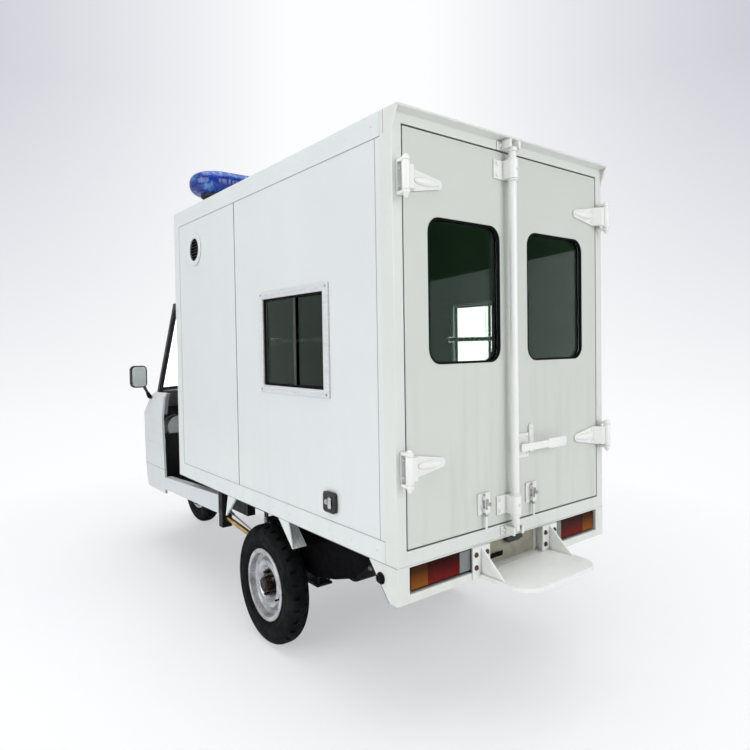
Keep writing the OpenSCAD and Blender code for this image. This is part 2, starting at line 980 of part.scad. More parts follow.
module windscreen_frame() color(black) {
    difference() {
        canopy(0, 0);
        translate([0, 0, -thin]) canopy(pillar_t, core_back);
        translate([0, 0, 2 * thin]) canopy(pillar_t, core_back);
        door_opening();
        face_plate(box_l + core_back, nose_at) screen_outline(0);
    }
}

module windscreen() color(smoke) {
    intersection() {
        difference() {
            canopy(glass_in, 0);
            canopy(glass_in + glass_t, core_back);
        }
        face_plate(box_l + core_back, nose_at) screen_outline(-pane_gap);
    }
}

module cab_roof() color(paint) {
    difference() {
        hull() {
            translate([0, 0, screen_top]) linear_extrude(thin)
                cab_plan(box_l, nose_at - eave_back, cab_y - eave_in, nose_r - eave_round);
            translate([0, 0, roof_z - thin]) linear_extrude(thin)
                cab_plan(box_l, nose_at - crown_back, cab_y - crown_in, nose_r - crown_round);
        }
        hull() {
            translate([0, 0, screen_top - thin]) linear_extrude(thin)
                cab_plan(box_l - core_back, nose_at - eave_back - roof_rim, cab_y - eave_in - roof_rim,
                         nose_r - eave_round - roof_core_round);
            translate([0, 0, roof_z - roof_sheet]) linear_extrude(thin)
                cab_plan(box_l - core_back, nose_at - crown_back - roof_core_back,
                    cab_y - crown_in - roof_core_in,
                         nose_r - crown_round - roof_core_top);
        }
    }
}

module seat_box() color(dark) {
    back_s = box_l + seat_gap;
    front_end = back_s + seat_l;
    difference() {
        block([back_s, -seat_w / 2, floor_z], [front_end, seat_w / 2, seat_z]);
        block([back_s + seat_wall, seat_wall - seat_w / 2, floor_z - thin],
              [front_end - seat_wall, seat_w / 2 - seat_wall, seat_z - seat_wall]);
    }
}

module driver_seat() color(black) {
    translate([box_l + cushion_s, 0, seat_z]) linear_extrude(cushion_t)
        round_rect(cushion_l, cushion_w, cushion_r);
    face_plate(box_l, rest_t) translate([0, rest_z]) round_rect(rest_w, rest_h, rest_r);
}

module mirrors() color(black) {
    head_s = box_l + mirror_s;
    bend = [head_s - 2, cab_y + mirror_bend_y, mirror_bend_z];
    both_sides() {
        rod([head_s - 6, cab_y + mirror_foot, mirror_foot_z], bend, mirror_arm_r);
        translate(bend) sphere(mirror_ball_r);
        rod(bend, [head_s + 8, cab_y + mirror_y - 6, mirror_z - 12], mirror_arm_r);
        face_plate(head_s - 10, mirror_t)
            translate([cab_y + mirror_y, mirror_z]) round_rect(mirror_w, mirror_h, mirror_r);
    }
}

module headlamps() color([0.9, 0.92, 0.95]) {
    both_sides()
        translate([nose_at - lamp_eye_back, lamp_eye_y, lamp_eye_z]) rotate([0, 90, 0])
            cylinder(h = lamp_eye_l, r = headlamp_r);
}

module box_floor() color([0.6, 0.6, 0.6]) {
    block([frame_d, -inner_y, box_z], [box_l - wall_t, inner_y, box_z + floor_h]);
}

// One side of the box, drawn for the left.
module side_wall() {
    cut_l = side_win_l - side_bar_w;
    cut_h = side_win_h - side_bar_w;
    difference() {
        union() {
            block([frame_d, inner_y, box_z], [box_l, panel_y, box_top]);
            block([frame_d, inner_y, box_z], [box_l, half_w, box_z + rail_h]);
            block([frame_d, inner_y, box_top - trim_h], [box_l, half_w, box_top]);
            block([box_l - corner_w, inner_y, box_z], [box_l, half_w, box_top]);
        }
        block([side_win_s - cut_l / 2, inner_y - thin, box_z + side_win_up - cut_h / 2],
              [side_win_s + cut_l / 2, half_w, box_z + side_win_up + cut_h / 2]);
        block([seam_s - seam_w / 2, panel_y - trim_step, box_z + rail_h],
              [seam_s + seam_w / 2, half_w, box_top - trim_h]);
        children();
    }
}

module box_left_wall() color(paint) side_wall()
    cross_rod(vent_at, inner_y - thin, half_w, box_z + vent_up, vent_open_d / 2);

module box_right_wall() color(paint) mirror([0, 1, 0]) side_wall();

module box_front_wall() color(paint)
    block([box_l - wall_t, -inner_y, box_z], [box_l, inner_y, box_top]);

module box_roof() color(paint)
    block([frame_d, -inner_y, box_top - wall_t], [box_l - wall_t, inner_y, box_top - trim_step]);

module rear_frame() color(paint) {
    difference() {
        block([0, -half_w, box_z], [frame_d, half_w, box_top]);
        block([-thin, -open_y, open_low], [door_t + 2, open_y, open_high]);
        block([0, -open_y + stop_w, open_low + stop_w],
            [frame_d + thin, open_y - stop_w, open_high - stop_w]);
    }
    side_plate(-half_w, box_w)
        polygon([[tiny, box_top], [-lip_out, box_top], [-lip_out, box_top - lip_t],
            [tiny, box_top - 2 * lip_t]]);
    both_sides() side_plate(half_w - 6, 6)
        polygon([[tiny, box_top], [-lip_out, box_top], [tiny, box_top - trim_h]]);
}

// Fixed half of a hinge about its pin.
module hinge_bracket() {
    ear_t = 10;
    plate_t = 6;
    head_t = 6;
    ear_z = barrel_l / 2 + 1;
    block([pin_back - plate_t, -16, -ear_z - ear_t], [pin_back, 8, ear_z + ear_t]);
    for (z = [-ear_z - ear_t, ear_z]) {
        translate([0, 0, z]) cylinder(h = ear_t, r = barrel_r);
        block([0, -barrel_r, z], [pin_back - plate_t + tiny, 8, z + ear_t]);
    }
    pin_end = ear_z + ear_t;
    translate([0, 0, -pin_end]) cylinder(h = 2 * pin_end, r = pin_r);
    for (z = [-pin_end - head_t, pin_end]) translate([0, 0, z - tiny])
        cylinder(h = head_t + 2 * tiny, r = pin_r + 4);
}

// Swinging half of a hinge about its pin.
module hinge_blade() {
    root_h = 78;
    tip_r = 17;
    web = 12;
    knee = 32;
    rib_r = 7;
    rib_l = blade_l - knee - 50;
    rib_mid = knee + 36 + rib_l / 2;
    difference() {
        union() {
            translate([0, 0, -barrel_l / 2]) cylinder(h = barrel_l, r = barrel_r);
            intersection() {
                translate([0, 0, -root_h / 2]) linear_extrude(root_h) polygon([
                    [0, 0],
                    [web, 0],
                    [web, -knee + 4],
                    [pin_back, -knee - 20],
                    [pin_back, -blade_l],
                    [pin_back - blade_t, -blade_l],
                    [pin_back - blade_t, -knee - 28],
                    [0, -knee - 4]
                ]);
                face_plate(-thin, pin_back + 2 * thin) {
                    polygon([
                        [thin, -root_h / 2],
                        [thin, root_h / 2],
                        [-knee - 20, root_h / 2],
                        [tip_r - blade_l, tip_r],
                        [tip_r - blade_l, -tip_r],
                        [-knee - 20, -root_h / 2]
                    ]);
                    translate([tip_r - blade_l, 0]) circle(tip_r);
                }
            }
            translate([pin_back - blade_t, -rib_mid, 0]) rotate([90, 0, 0]) rotate_extrude() intersection() {
                round_rect(2 * rib_r, rib_l, 0.8 * rib_r);
                translate([0, -rib_l]) square([rib_r, 2 * rib_l]);
            }
        }
        translate([0, 0, -barrel_l]) cylinder(h = 2 * barrel_l, r = pin_r + pin_gap);
    }
}

// Places a hinge half at both hinges of the left post.
module at_hinges() for (z = [hinge_low, hinge_high]) translate([-pin_back, pin_y, box_z + z]) children();

module hinge_brackets() color(paint) {
    both_sides() at_hinges() hinge_bracket();
    lock_keepers();
}

// Lugs that hold the ends of the lock bar.
module lock_keepers() {
    inner = bar_r + 6;
    lug = 9;
    back = bar_back + bar_r;
    keeper_h = 30;
    for (z = [box_z + 14, box_top - header_h + 2])
        for (y = [bar_y - inner - lug, bar_y + inner])
            block([-back, y, z], [0, y + lug, z + keeper_h]);
}

module side_window_frames() color(steel) {
    middle = [side_win_s, box_z + side_win_up];
    open_l = side_win_l - 2 * side_bar_w;
    open_h = side_win_h - 2 * side_bar_w;
    cut_gap = side_bar_w + 2 * pane_gap;
    both_sides() {
        difference() {
            side_plate(inner_y, half_w - inner_y + frame_proud)
                translate(middle) square([side_win_l - cut_gap, side_win_h - cut_gap], center = true);
            side_plate(inner_y - thin, half_w + wall_t) translate(middle)
                square([open_l, open_h], center = true);
        }
        difference() {
            side_plate(panel_y, frame_proud) translate(middle)
                square([side_win_l, side_win_h], center = true);
            side_plate(panel_y - thin, half_w) translate(middle) square([open_l, open_h], center = true);
        }
    }
}

module side_window_glass() color(smoke) {
    pane_l = side_win_l / 2 - side_bar_w + slide_lap;
    pane_h = side_win_h - 2 * side_bar_w - 2 * pane_gap;
    edge = side_win_l / 2 - side_bar_w - pane_gap;
    low = box_z + side_win_up - pane_h / 2;
    both_sides() {
        translate([side_win_s + edge - pane_l, inner_y + slide_in, low]) cube([pane_l, slide_t, pane_h]);
        translate([side_win_s - edge, inner_y + slide_out, low]) cube([pane_l, slide_t, pane_h]);
    }
}

module vent_fan() color(steel) {
    side_y = panel_y + tiny;
    bore_r = vent_open_d / 2;
    translate([vent_at, 0, box_z + vent_up]) {
        difference() {
            cross_rod(0, panel_y, panel_y + vent_ring_t, 0, vent_d / 2);
            cross_rod(0, panel_y - thin, panel_y + 2 * vent_ring_t, 0, bore_r - vent_wall);
        }
        difference() {
            cross_rod(0, inner_y, side_y, 0, bore_r - play);
            cross_rod(0, inner_y - thin, side_y + thin, 0, bore_r - vent_wall);
        }
        cross_rod(0, inner_y + 4 * thin, panel_y - 4 * thin, 0, vent_hub_r);
        for (a = [0 : 60 : 300])
            rotate([0, a, 0])
                translate([vent_hub_r - 4 * thin, inner_y + 8 * thin, -vent_blade / 2])
                    cube([bore_r - vent_wall - vent_hub_r + 5 * thin, vent_blade_t, vent_blade]);
    }
}

module side_lock() color(black) {
    side_plate(panel_y, lock_proud + trim_step)
        translate([lock_s, box_z + lock_up]) round_rect(lock_size, lock_size, lock_r);
}

module light_bar() color([0.1, 0.25, 0.85, 0.9]) {
    half = beacon_d / 2;
    straight = beacon_l / 2 - half;
    translate([beacon_at, 0, box_top + beacon_foot + beacon_base_t + beacon_h / 2]) {
        translate([0, straight, 0]) rotate([90, 0, 0]) linear_extrude(2 * straight)
            round_rect(beacon_d, beacon_h, beacon_edge);
        for (side = [-1, 1])
            translate([0, side * straight, 0]) rotate_extrude() intersection() {
                round_rect(beacon_d, beacon_h, beacon_edge);
                translate([0, -beacon_h]) square([half, 2 * beacon_h]);
            }
    }
}

module light_bar_base() color(dark) {
    pad_y = beacon_l / 2 - beacon_pad_in;
    translate([beacon_at, 0, box_top + beacon_foot]) linear_extrude(beacon_base_t)
        round_rect(beacon_d - beacon_base_in, beacon_l - beacon_base_in, beacon_base_r);
    both_sides()
        block([beacon_at - beacon_pad_l / 2, pad_y - beacon_pad_w, box_top - trim_step],
              [beacon_at + beacon_pad_l / 2, pad_y, box_top + beacon_foot + tiny]);
}

module hand_rails() color(steel) {
    rail_in = inner_y - rail_room;
    rail_z = box_z + side_win_up + rail_lift;
    both_sides() {
        rod([side_win_s - rail_l / 2, rail_in, rail_z], [side_win_s + rail_l / 2, rail_in, rail_z], rail_r);
        for (s = [side_win_s - rail_l / 2 - rail_foot_end, side_win_s + rail_l / 2 - rail_foot_in])
            block([s, rail_in - rail_r - thin, rail_z - rail_foot / 2],
                [s + rail_foot, inner_y, rail_z + rail_foot / 2]);
    }
}

module rear_bumper() color(paint) {
    post_in = gusset_y - bumper_post / 2;
    back = bumper_d - bumper_sheet;
    difference() {
        block([0, -half_w, bumper_low], [bumper_d, half_w, box_z]);
        for (side = [-1, 1])
            translate([0, side * lamp_y, 0])
                block([-thin, -lamp_w / 2 - lamp_room, bumper_low + bumper_lip],
                      [back, lamp_w / 2 + lamp_room, box_z - bumper_rim]);
        block([-thin, -post_in, bumper_low + bumper_lip - bumper_fold], [back, post_in, box_z - bumper_rim]);
        block([bumper_fold, -half_w - thin, bumper_low - thin],
              [bumper_d + thin, half_w + thin, bumper_low + bumper_lip - bumper_fold - 2 * thin]);
        for (side = [-1, 1])
            face_plate(0, bumper_d + thin) translate([side * plate_span / 2, lamp_z]) circle(plate_hole_r);
    }
    both_sides() side_plate(half_w - bumper_sheet, bumper_sheet)
        polygon([
            [bumper_fold - tiny, bumper_low],
            [bumper_d + quarter_foot, bumper_low],
            [bumper_d + quarter_knee, box_z - quarter_drop],
            [bumper_d + quarter_top, box_z],
            [bumper_fold - tiny, box_z]
        ]);
}

// One lens of each tail lamp, placed from the lamp's inner end.
module lamp_lens(from, w) {
    start = lamp_y - lamp_w / 2 + from;
    both_sides()
        block([lamp_back, start, lamp_z - lamp_h / 2],
            [bumper_d - bumper_sheet, start + w - play, lamp_z + lamp_h / 2]);
}

module lamps_clear() color([0.95, 0.95, 0.95]) lamp_lens(0, clear_w);

module lamps_red() color([0.8, 0.05, 0.05]) lamp_lens(clear_w, red_w);

module lamps_amber() color([0.95, 0.5, 0.05]) lamp_lens(clear_w + red_w, amber_w);

module rear_step() color(paint) {
    translate([0, 0, step_z - step_rim]) difference() {
        linear_extrude(step_rim) step_plan(0);
        translate([0, 0, -thin]) linear_extrude(step_rim - step_sheet + thin) step_plan(step_sheet);
    }
    both_sides() {
        side_plate(gusset_y - gusset_t / 2, gusset_t)
            polygon([
                [tiny - step_plate, step_z - tiny],
                [-step_plate - gusset_l, step_z - tiny],
                [tiny - step_plate, box_z - quarter_drop]
            ]);
        block([-step_plate, gusset_y - step_flange_w / 2, step_z - step_rim],
              [0, gusset_y + step_flange_w / 2, box_z - bumper_rim]);
    }
}

// Plan of the step's tread, its outer corners round.
module step_plan(inset) {
    y = step_w / 2 - inset;
    r = step_r - inset;
    out = step_out - inset;
    translate([-out + r, -y]) square([out - r - step_plate + tiny, 2 * y]);
    translate([-out, -y + r]) square([out - step_plate + tiny, 2 * (y - r)]);
    for (side = [-1, 1]) translate([-out + r, side * (y - r)]) circle(r);
}

module mudguards() color([0.75, 0.76, 0.77]) {
    cheek_y = half_w - cheek_in;
    low_z = box_z - flap_drop;
    both_sides() {
        for (end = [-1, 1]) {
            high = rear_at + end * flap_high;
            out = rear_at + end * flap_out;
            low = rear_at + end * flap_low;
            sheet_y = end < 0 ? apron_y + apron_t + 0.5 * thin : cheek_y - cheek_t;
            side_plate(sheet_y, cheek_y - sheet_y)
                polygon([[high, box_z], [low, low_z], [low + end * cheek_t, low_z],
                    [high + end * flap_t, box_z]]);
            side_plate(cheek_y, cheek_t)
                polygon([[high, box_z], [out, box_z], [low + end * cheek_t, low_z], [low, low_z]]);
        }
    }
}

module splash_aprons() color(black) {
    both_sides() side_plate(apron_y, apron_t) {
        translate([rear_at, box_z]) polygon(rear_apron);
        polygon([
            [rear_at + front_apron_top, box_z],
            [rear_at + front_apron_foot, box_z - front_apron_h],
            [post_s - 2 * front_apron_gap, box_z - front_apron_h],
            [post_s - front_apron_gap, box_z]
        ]);
    }
}

module stretcher() color(steel) {
    x0 = cot_in;
    x1 = box_l - cot_front;
    y0 = cot_y;
    y1 = inner_y - cot_wall;
    top = box_z + floor_h + cot_up;
    for (y = [y0, y1]) rod([x0, y, top], [x1, y, top], cot_tube_r);
    for (s = [x0 + cot_bar_in, x0 + cot_bar_mid, x1 - cot_bar_mid, x1 - cot_bar_in])
        cross_rod(s, y0, y1, top, cot_bar_r);
    for (s = [x0 + cot_leg_in, x1 - cot_leg_in])
        for (y = [y0, y1]) rod([s, y, box_z + floor_h], [s, y, top], cot_leg_r);
}

module mattress() color([0.2, 0.45, 0.3]) {
    long = box_l - cot_front - cot_in - 2 * mattress_end;
    wide = inner_y - cot_wall - cot_y - 2 * mattress_in;
    middle = [(box_l - cot_front + cot_in) / 2, (inner_y - cot_wall + cot_y) / 2];
    translate([middle[0], middle[1], box_z + floor_h + cot_up + cot_bar_r])
        linear_extrude(mattress_t) round_rect(long, wide, mattress_r);
}

module left_door() color(paint) door_panel();

module right_door() color(paint) mirror([0, 1, 0]) door_panel();

// Door leaf with its window cut, drawn for the left.
module door_panel() {
    difference() {
        block([0, door_split / 2, door_low], [door_t, door_edge, door_high]);
        face_plate(-thin, door_t + 2 * thin) translate([win_y, win_z]) round_rect(win_w, win_h, win_r);
    }
}

// Pane of a door window, drawn for the left.
module door_pane() {
    gap = 2 * pane_gap;
    face_plate((door_t - pane_t) / 2 - 6, pane_t)
        translate([win_y, win_z]) round_rect(win_w - gap, win_h - gap, win_r - pane_gap);
}

module left_door_glass() color(smoke) door_pane();

module right_door_glass() color(smoke) mirror([0, 1, 0]) door_pane();

// Drop bolt with its plate, at a distance from the middle.
module drop_bolt(y) {
    plate = 65;
    plate_h = 79;
    foot = door_low + 4;
    plate_z = box_z + 110;
    block([-6, y - plate / 2, plate_z], [0, y + plate / 2, plate_z + plate_h]);
    translate([-16, y, foot]) cylinder(h = plate_z + plate_h - foot, r = 5);
    for (z = [plate_z + 8, plate_z + plate_h - 24])
        block([-22, y - 10, z], [-6 + tiny, y + 10, z + 16]);
}

module left_door_hinges() color(paint) {
    at_hinges() hinge_blade();
    drop_bolt(left_bolt_y);
}

module right_door_hinges() color(paint) {
    mirror([0, 1, 0]) at_hinges() hinge_blade();
    drop_bolt(right_bolt_y);
}

module lock_bar() color(paint) {
    guide_h = 71;
    sleeve = bar_r + 6;
    translate([-bar_back, bar_y, box_z + bar_low]) cylinder(h = bar_l, r = bar_r);
    for (z = [box_z + guide_low, box_top - guide_high]) {
        block([-6, bar_y + guide_near, z], [0, bar_y + guide_far, z + guide_h]);
        difference() {
            union() {
                translate([-bar_back, bar_y, z]) cylinder(h = guide_h, r = sleeve);
                block([-bar_back, bar_y - sleeve, z], [0, bar_y + sleeve, z + guide_h]);
            }
            translate([-bar_back, bar_y, z - thin]) cylinder(h = guide_h + 2 * thin, r = bar_r + play);
        }
    }
}

module door_handle() color(paint) {
    grip_h = 28;
    grip_z = box_z + handle_up;
    post_y = -40;
    block([-6, post_y - 36, grip_z - 48], [0, post_y + 28, grip_z + 48]);
    block([-bar_back - 4, post_y - 18, grip_z - 12], [-6 + tiny, post_y + 10, grip_z + 12]);
    block([-bar_back - 12, -handle_l, grip_z - grip_h / 2],
        [-bar_back - 4 + tiny, bar_y - bar_r - 12, grip_z + grip_h / 2]);
    face_plate(-8, 8) {
        translate([post_y - 64, grip_z - 30]) square([26, 100]);
        translate([post_y - 51, grip_z + 70]) circle(13);
    }
}

module fork() color(black) {
    drop = fork_set * sin(rake);
    set = fork_set * cos(rake);
    top = head_up + head_l + 36;
    on_steering() {
        both_sides() {
            translate([set, leg_y, -drop - 26]) cylinder(h = top + drop + 26, r = leg_r);
        }
        for (z = [head_up - 34, head_up + head_l + 4])
            difference() {
                translate([0, 0, z]) linear_extrude(28) {
                    translate([set - 26, -leg_y]) square([52, 2 * leg_y]);
                    translate([-26, -34]) square([set + 26, 68]);
                    for (side = [-1, 1]) translate([set, side * leg_y]) circle(leg_r + 8);
                    circle(34);
                }
                both_sides() translate([set, leg_y, z - thin]) cylinder(h = 40, r = leg_r - tiny);
            }
        translate([0, 0, head_up - 34 + tiny]) cylinder(h = head_l + 60, r = stem_r);
    }
    cross_rod(front_at, -leg_y - leg_r - 10, leg_y + leg_r + 10, wheel_z, 9);
}

module handlebar() color(black) {
    clamp = head_up + head_l + 32;
    clamp_s = steer_s - clamp * sin(rake);
    clamp_z = wheel_z + clamp * cos(rake);
    rise_z = bars_z - 6;
    grip_s = clamp_s - bars_back;
    grip_y = bars_w / 2;
    bend_s = clamp_s - bend_back;
    both_sides() {
        difference() {
            rod([clamp_s + riser_out, riser_y, clamp_z - riser_foot], [bend_s, riser_y, rise_z], riser_r);
            on_steering() block([-100, 0, 0], [100, 100, clamp]);
        }
        rod([bend_s, -thin, rise_z], [bend_s, bend_y, rise_z], tube_bar_r);
        rod([bend_s, bend_y - bar_lap, rise_z],
            [grip_s + hand_out - bar_lap, grip_y - hand_l + 2 * bar_lap, bars_z], tube_bar_r);
        rod([grip_s + hand_out, grip_y - hand_l, bars_z], [grip_s, grip_y, bars_z], hand_r);
    }
}

module front_mudguard() color(black) {
    width = tyre_w + 22;
    translate([front_at, 0, wheel_z]) {
        rotate([90, 0, 0]) rotate([0, 0, guard_front]) rotate_extrude(angle = guard_rear - guard_front) {
            translate([guard_r, -width / 2]) square([guard_t, width]);
            for (side = [-1, 1])
                translate([guard_r - 22, side * (width / 2 - 2) - 2]) square([22 + tiny, 4]);
        }
    }
    on_steering() both_sides() difference() {
        translate([fork_set * cos(rake), width / 2 - tiny, guard_r - fork_set * sin(rake) - 24])
            rotate([-90, 0, 0])
            cylinder(h = leg_y - width / 2, r = 14);
        translate([fork_set * cos(rake), leg_y, 0]) cylinder(h = 2 * guard_r, r = leg_r + play);
    }
}

// Tyre about its own axle, axle along y.
module tyre() {
    tread_r = 40;
    bead_w = rim_w - 10;
    shoulder = 26;
    rotate([-90, 0, 0]) difference() {
        rotate_extrude() {
            translate([rim_r, -bead_w / 2]) square([flange_r - rim_r + 12, bead_w]);
            intersection() {
                translate([(flange_r + 2 + tyre_r) / 2, 0])
                    round_rect(tyre_r - flange_r - 2, tyre_w, tread_r);
                translate([flange_r + 2, -tyre_w / 2]) square([tyre_r, tyre_w]);
            }
        }
        for (i = [0 : blocks - 1])
            for (side = [-1, 1])
                rotate([0, 0, (i + side * 0.25) * 360 / blocks])
                    translate([tyre_r - groove_d, -8, side > 0 ? shoulder / 2 : -tyre_w / 2 - thin])
                        cube([groove_d + thin, 16, tyre_w / 2 - shoulder / 2 + thin]);
    }
}

// Pressed steel rim about its own axle, outer face to +y.
module rim(bore) {
    half = rim_w / 2;
    well = rim_r - 22;
    sheet = 5;
    dish = 12;
    hub_r = 46;
    rotate([-90, 0, 0]) difference() {
        union() {
            rotate_extrude() polygon([
                [flange_r, -half],
                [flange_r, -half + 4],
                [rim_r - play, -half + 5],
                [rim_r - 3, -half + 24],
                [well, -half + 34],
                [well, half - 34],
                [rim_r - 3, half - 24],
                [rim_r - play, half - 5],
                [flange_r, half - 4],
                [flange_r, half],
                [rim_r - 5, half],
                [rim_r - 3 - sheet, half - 26],
                [well - sheet, half - 36],
                [well - sheet, -half + 36],
                [rim_r - 3 - sheet, -half + 26],
                [rim_r - 5, -half]
            ]);
            rotate_extrude() polygon([
                [0, dish],
                [hub_r + 28, dish],
                [hub_r + 42, dish + 14],
                [well - 22, dish + 14],
                [well - sheet + tiny, dish - 2],
                [well - sheet + tiny, dish - 9],
                [well - 25, dish + 7],
                [hub_r + 46, dish + 7],
                [hub_r + 32, dish - 7],
                [0, dish - 7]
            ]);
            translate([0, 0, dish - tiny]) cylinder(h = 34, r = hub_r - 10);
            for (i = [0 : 4]) rotate([0, 0, i * 72]) translate([hub_r + 9, 0, dish - tiny])
                cylinder(h = 16, r = 11, $fn = 6);
        }
        translate([0, 0, -half]) cylinder(h = half + dish + 26, r = bore);
    }
}

// Front hub: a sleeve that carries the rim on the front axle.
module front_hub() {
    rotate([-90, 0, 0]) difference() {
        translate([0, 0, -rim_w / 2 + 6]) cylinder(h = rim_w, r = 34);
        translate([0, 0, -rim_w]) cylinder(h = 2 * rim_w, r = 9 + play);
    }
}

module front_tyre() color(black) translate([front_at, 0, wheel_z]) tyre();

module front_rim() color(steel) translate([front_at, 0, wheel_z]) difference() {
    union() {
        rim(20);
        front_hub();
    }
    cross_rod(0, -rim_w, rim_w, 0, 9 + play);
}

module rear_left_tyre() color(black) translate([rear_at, wheel_y, wheel_z]) tyre();

module rear_left_rim() color(steel) translate([rear_at, wheel_y, wheel_z]) rim(stub_r + play);

module rear_right_tyre() color(black) mirror([0, 1, 0]) translate([rear_at, wheel_y, wheel_z]) tyre();

module rear_right_rim() color(steel) mirror([0, 1, 0]) translate([rear_at, wheel_y, wheel_z])
    rim(stub_r + play);

by_station() chassis_frame();
by_station() outriggers();
by_station() leaf_springs();
by_station() rear_axle();
by_station() drive_shaft();
by_station() torque_rods();
by_station() engine();
by_station() exhaust();
by_station() cab_floor();
by_station() cab_sills();
by_station() front_cowl();
by_station() lower_cowl();
by_station() dash();
by_station() windscreen_frame();
by_station() windscreen();
by_station() cab_roof();
by_station() seat_box();
by_station() driver_seat();
by_station() mirrors();
by_station() headlamps();
by_station() box_floor();
by_station() box_left_wall();
by_station() box_right_wall();
by_station() box_front_wall();
by_station() box_roof();
by_station() rear_frame();
by_station() hinge_brackets();
by_station() side_window_frames();
by_station() side_window_glass();
by_station() vent_fan();
by_station() side_lock();
by_station() light_bar();
by_station() light_bar_base();
by_station() hand_rails();
by_station() rear_bumper();
by_station() lamps_clear();
by_station() lamps_red();
by_station() lamps_amber();
by_station() rear_step();
by_station() mudguards();
by_station() splash_aprons();
by_station() stretcher();
by_station() mattress();
by_station() left_door();
by_station() left_door_glass();
by_station() left_door_hinges();
by_station() lock_bar();
by_station() right_door();
by_station() right_door_glass();
by_station() right_door_hinges();
by_station() door_handle();
by_station() fork();
by_station() handlebar();
by_station() front_mudguard();
by_station() front_tyre();
by_station() front_rim();
by_station() rear_left_tyre();
by_station() rear_left_rim();
by_station() rear_right_tyre();
by_station() rear_right_rim();
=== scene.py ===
"""Ambulance tricycle: finishes, small fittings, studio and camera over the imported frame."""

import math

import bmesh
import bpy
from mathutils import Matrix, Vector


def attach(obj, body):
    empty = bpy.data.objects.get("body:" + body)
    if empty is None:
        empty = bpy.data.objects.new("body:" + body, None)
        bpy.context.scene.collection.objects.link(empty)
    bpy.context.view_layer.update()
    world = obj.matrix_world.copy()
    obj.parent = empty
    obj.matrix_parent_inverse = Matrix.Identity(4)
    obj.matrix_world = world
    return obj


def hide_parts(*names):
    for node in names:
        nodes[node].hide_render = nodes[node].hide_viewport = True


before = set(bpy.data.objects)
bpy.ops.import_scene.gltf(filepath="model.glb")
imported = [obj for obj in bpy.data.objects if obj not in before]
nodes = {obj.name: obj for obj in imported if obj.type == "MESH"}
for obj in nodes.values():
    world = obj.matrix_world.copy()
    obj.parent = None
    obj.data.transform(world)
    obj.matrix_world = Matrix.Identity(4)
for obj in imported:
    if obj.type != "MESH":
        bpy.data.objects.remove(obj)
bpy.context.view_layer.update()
scene = bpy.context.scene

TAU = 2 * math.pi
X, Y, Z = Vector((1, 0, 0)), Vector((0, 1, 0)), Vector((0, 0, 1))
BACK = -X
SIDES = (("left", 1), ("right", -1))
MIRRORED = (1, -1)

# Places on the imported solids, in millimetres: stations run forward from the box's rear face,
# sides to the left and heights up from the floor
MID = 1.62784  # station of the row frame's origin, in metres
SHEET_Y, RAIL_Y = 609, 612
BOX_LOW, BOX_HIGH = 730, 2102
PIN_BACK, PIN_Y = 40, 586
HINGE_HEIGHTS = (987, 1954)
DOOR_T, DOOR_WINDOW_Y, DOOR_WINDOW_Z = 40, 269, 1588
BAR_BACK, BAR_Y = 36, 45
GUIDE_HEIGHTS, KEEPER_HEIGHTS = (746, 2025), (682, 2153)
DROP_BOLT_Y = {"left": 190, "right": -90}
SIDE_WINDOW_S, SIDE_WINDOW_Z = 664, 1423
VENT_S, VENT_Y, VENT_Z = 1702, 616, 1942
LOCK_S, LOCK_Z = 390, 804
LAMP_Y, LAMP_Z = 398, 601.4
REAR_S, FRONT_S, WHEEL_Y, WHEEL_Z = 1034, 3200, 529, 277

# Distances in metres: reach of the painted shade in corners, merging of closed bands, welding before edges are
# rounded
CORNER_REACH = 0.022
CLOSING = 0.0001
WELD = 0.00002


def at(s, y, z):
    """Row-frame point from a station, a side distance and a height in millimetres."""
    return Vector((s / 1000 - MID, y / 1000, z / 1000))


# Shader helpers


def new_tree(name):
    m = bpy.data.materials.new(name)
    m.use_nodes = True
    t = m.node_tree
    return m, t, t.nodes["Principled BSDF"]


def put(t, value, socket):
    """Links a node's output to a socket, or sets a plain value there."""
    if isinstance(value, bpy.types.NodeSocket):
        t.links.new(value, socket)
    else:
        socket.default_value = value


def coords(t, scale=None):
    c = t.nodes.new("ShaderNodeTexCoord")
    if scale is None:
        return c.outputs["Object"]
    m = t.nodes.new("ShaderNodeMapping")
    m.inputs["Scale"].default_value = scale
    t.links.new(c.outputs["Object"], m.inputs["Vector"])
    return m.outputs["Vector"]


def axes_of(t, vector):
    n = t.nodes.new("ShaderNodeSeparateXYZ")
    t.links.new(vector, n.inputs["Vector"])
    return n.outputs


def math_node(t, operation, *values):
    n = t.nodes.new("ShaderNodeMath")
    n.operation = operation
    for socket, value in zip(n.inputs, values):
        put(t, value, socket)
    return n.outputs[0]


def vector_node(t, operation, *values):
    n = t.nodes.new("ShaderNodeVectorMath")
    n.operation = operation
    for socket, value in zip(n.inputs, values):
        put(t, value, socket)
    return n.outputs["Value" if operation in ("DOT_PRODUCT", "LENGTH") else "Vector"]


def noise(t, vector, scale, detail=4.0):
    n = t.nodes.new("ShaderNodeTexNoise")
    n.inputs["Scale"].default_value = scale
    n.inputs["Detail"].default_value = detail
    n.inputs["Roughness"].default_value = 0.55
    t.links.new(vector, n.inputs["Vector"])
    return n.outputs["Fac"]


def ramp(t, fac, a, b, lo=0.35, hi=0.65):
    """Value that goes from a to b while fac goes from lo to hi."""
    r = t.nodes.new("ShaderNodeMapRange")
    r.inputs["From Min"].default_value = lo
    r.inputs["From Max"].default_value = hi
    r.inputs["To Min"].default_value = a
    r.inputs["To Max"].default_value = b
    t.links.new(fac, r.inputs["Value"])
    return r.outputs["Result"]


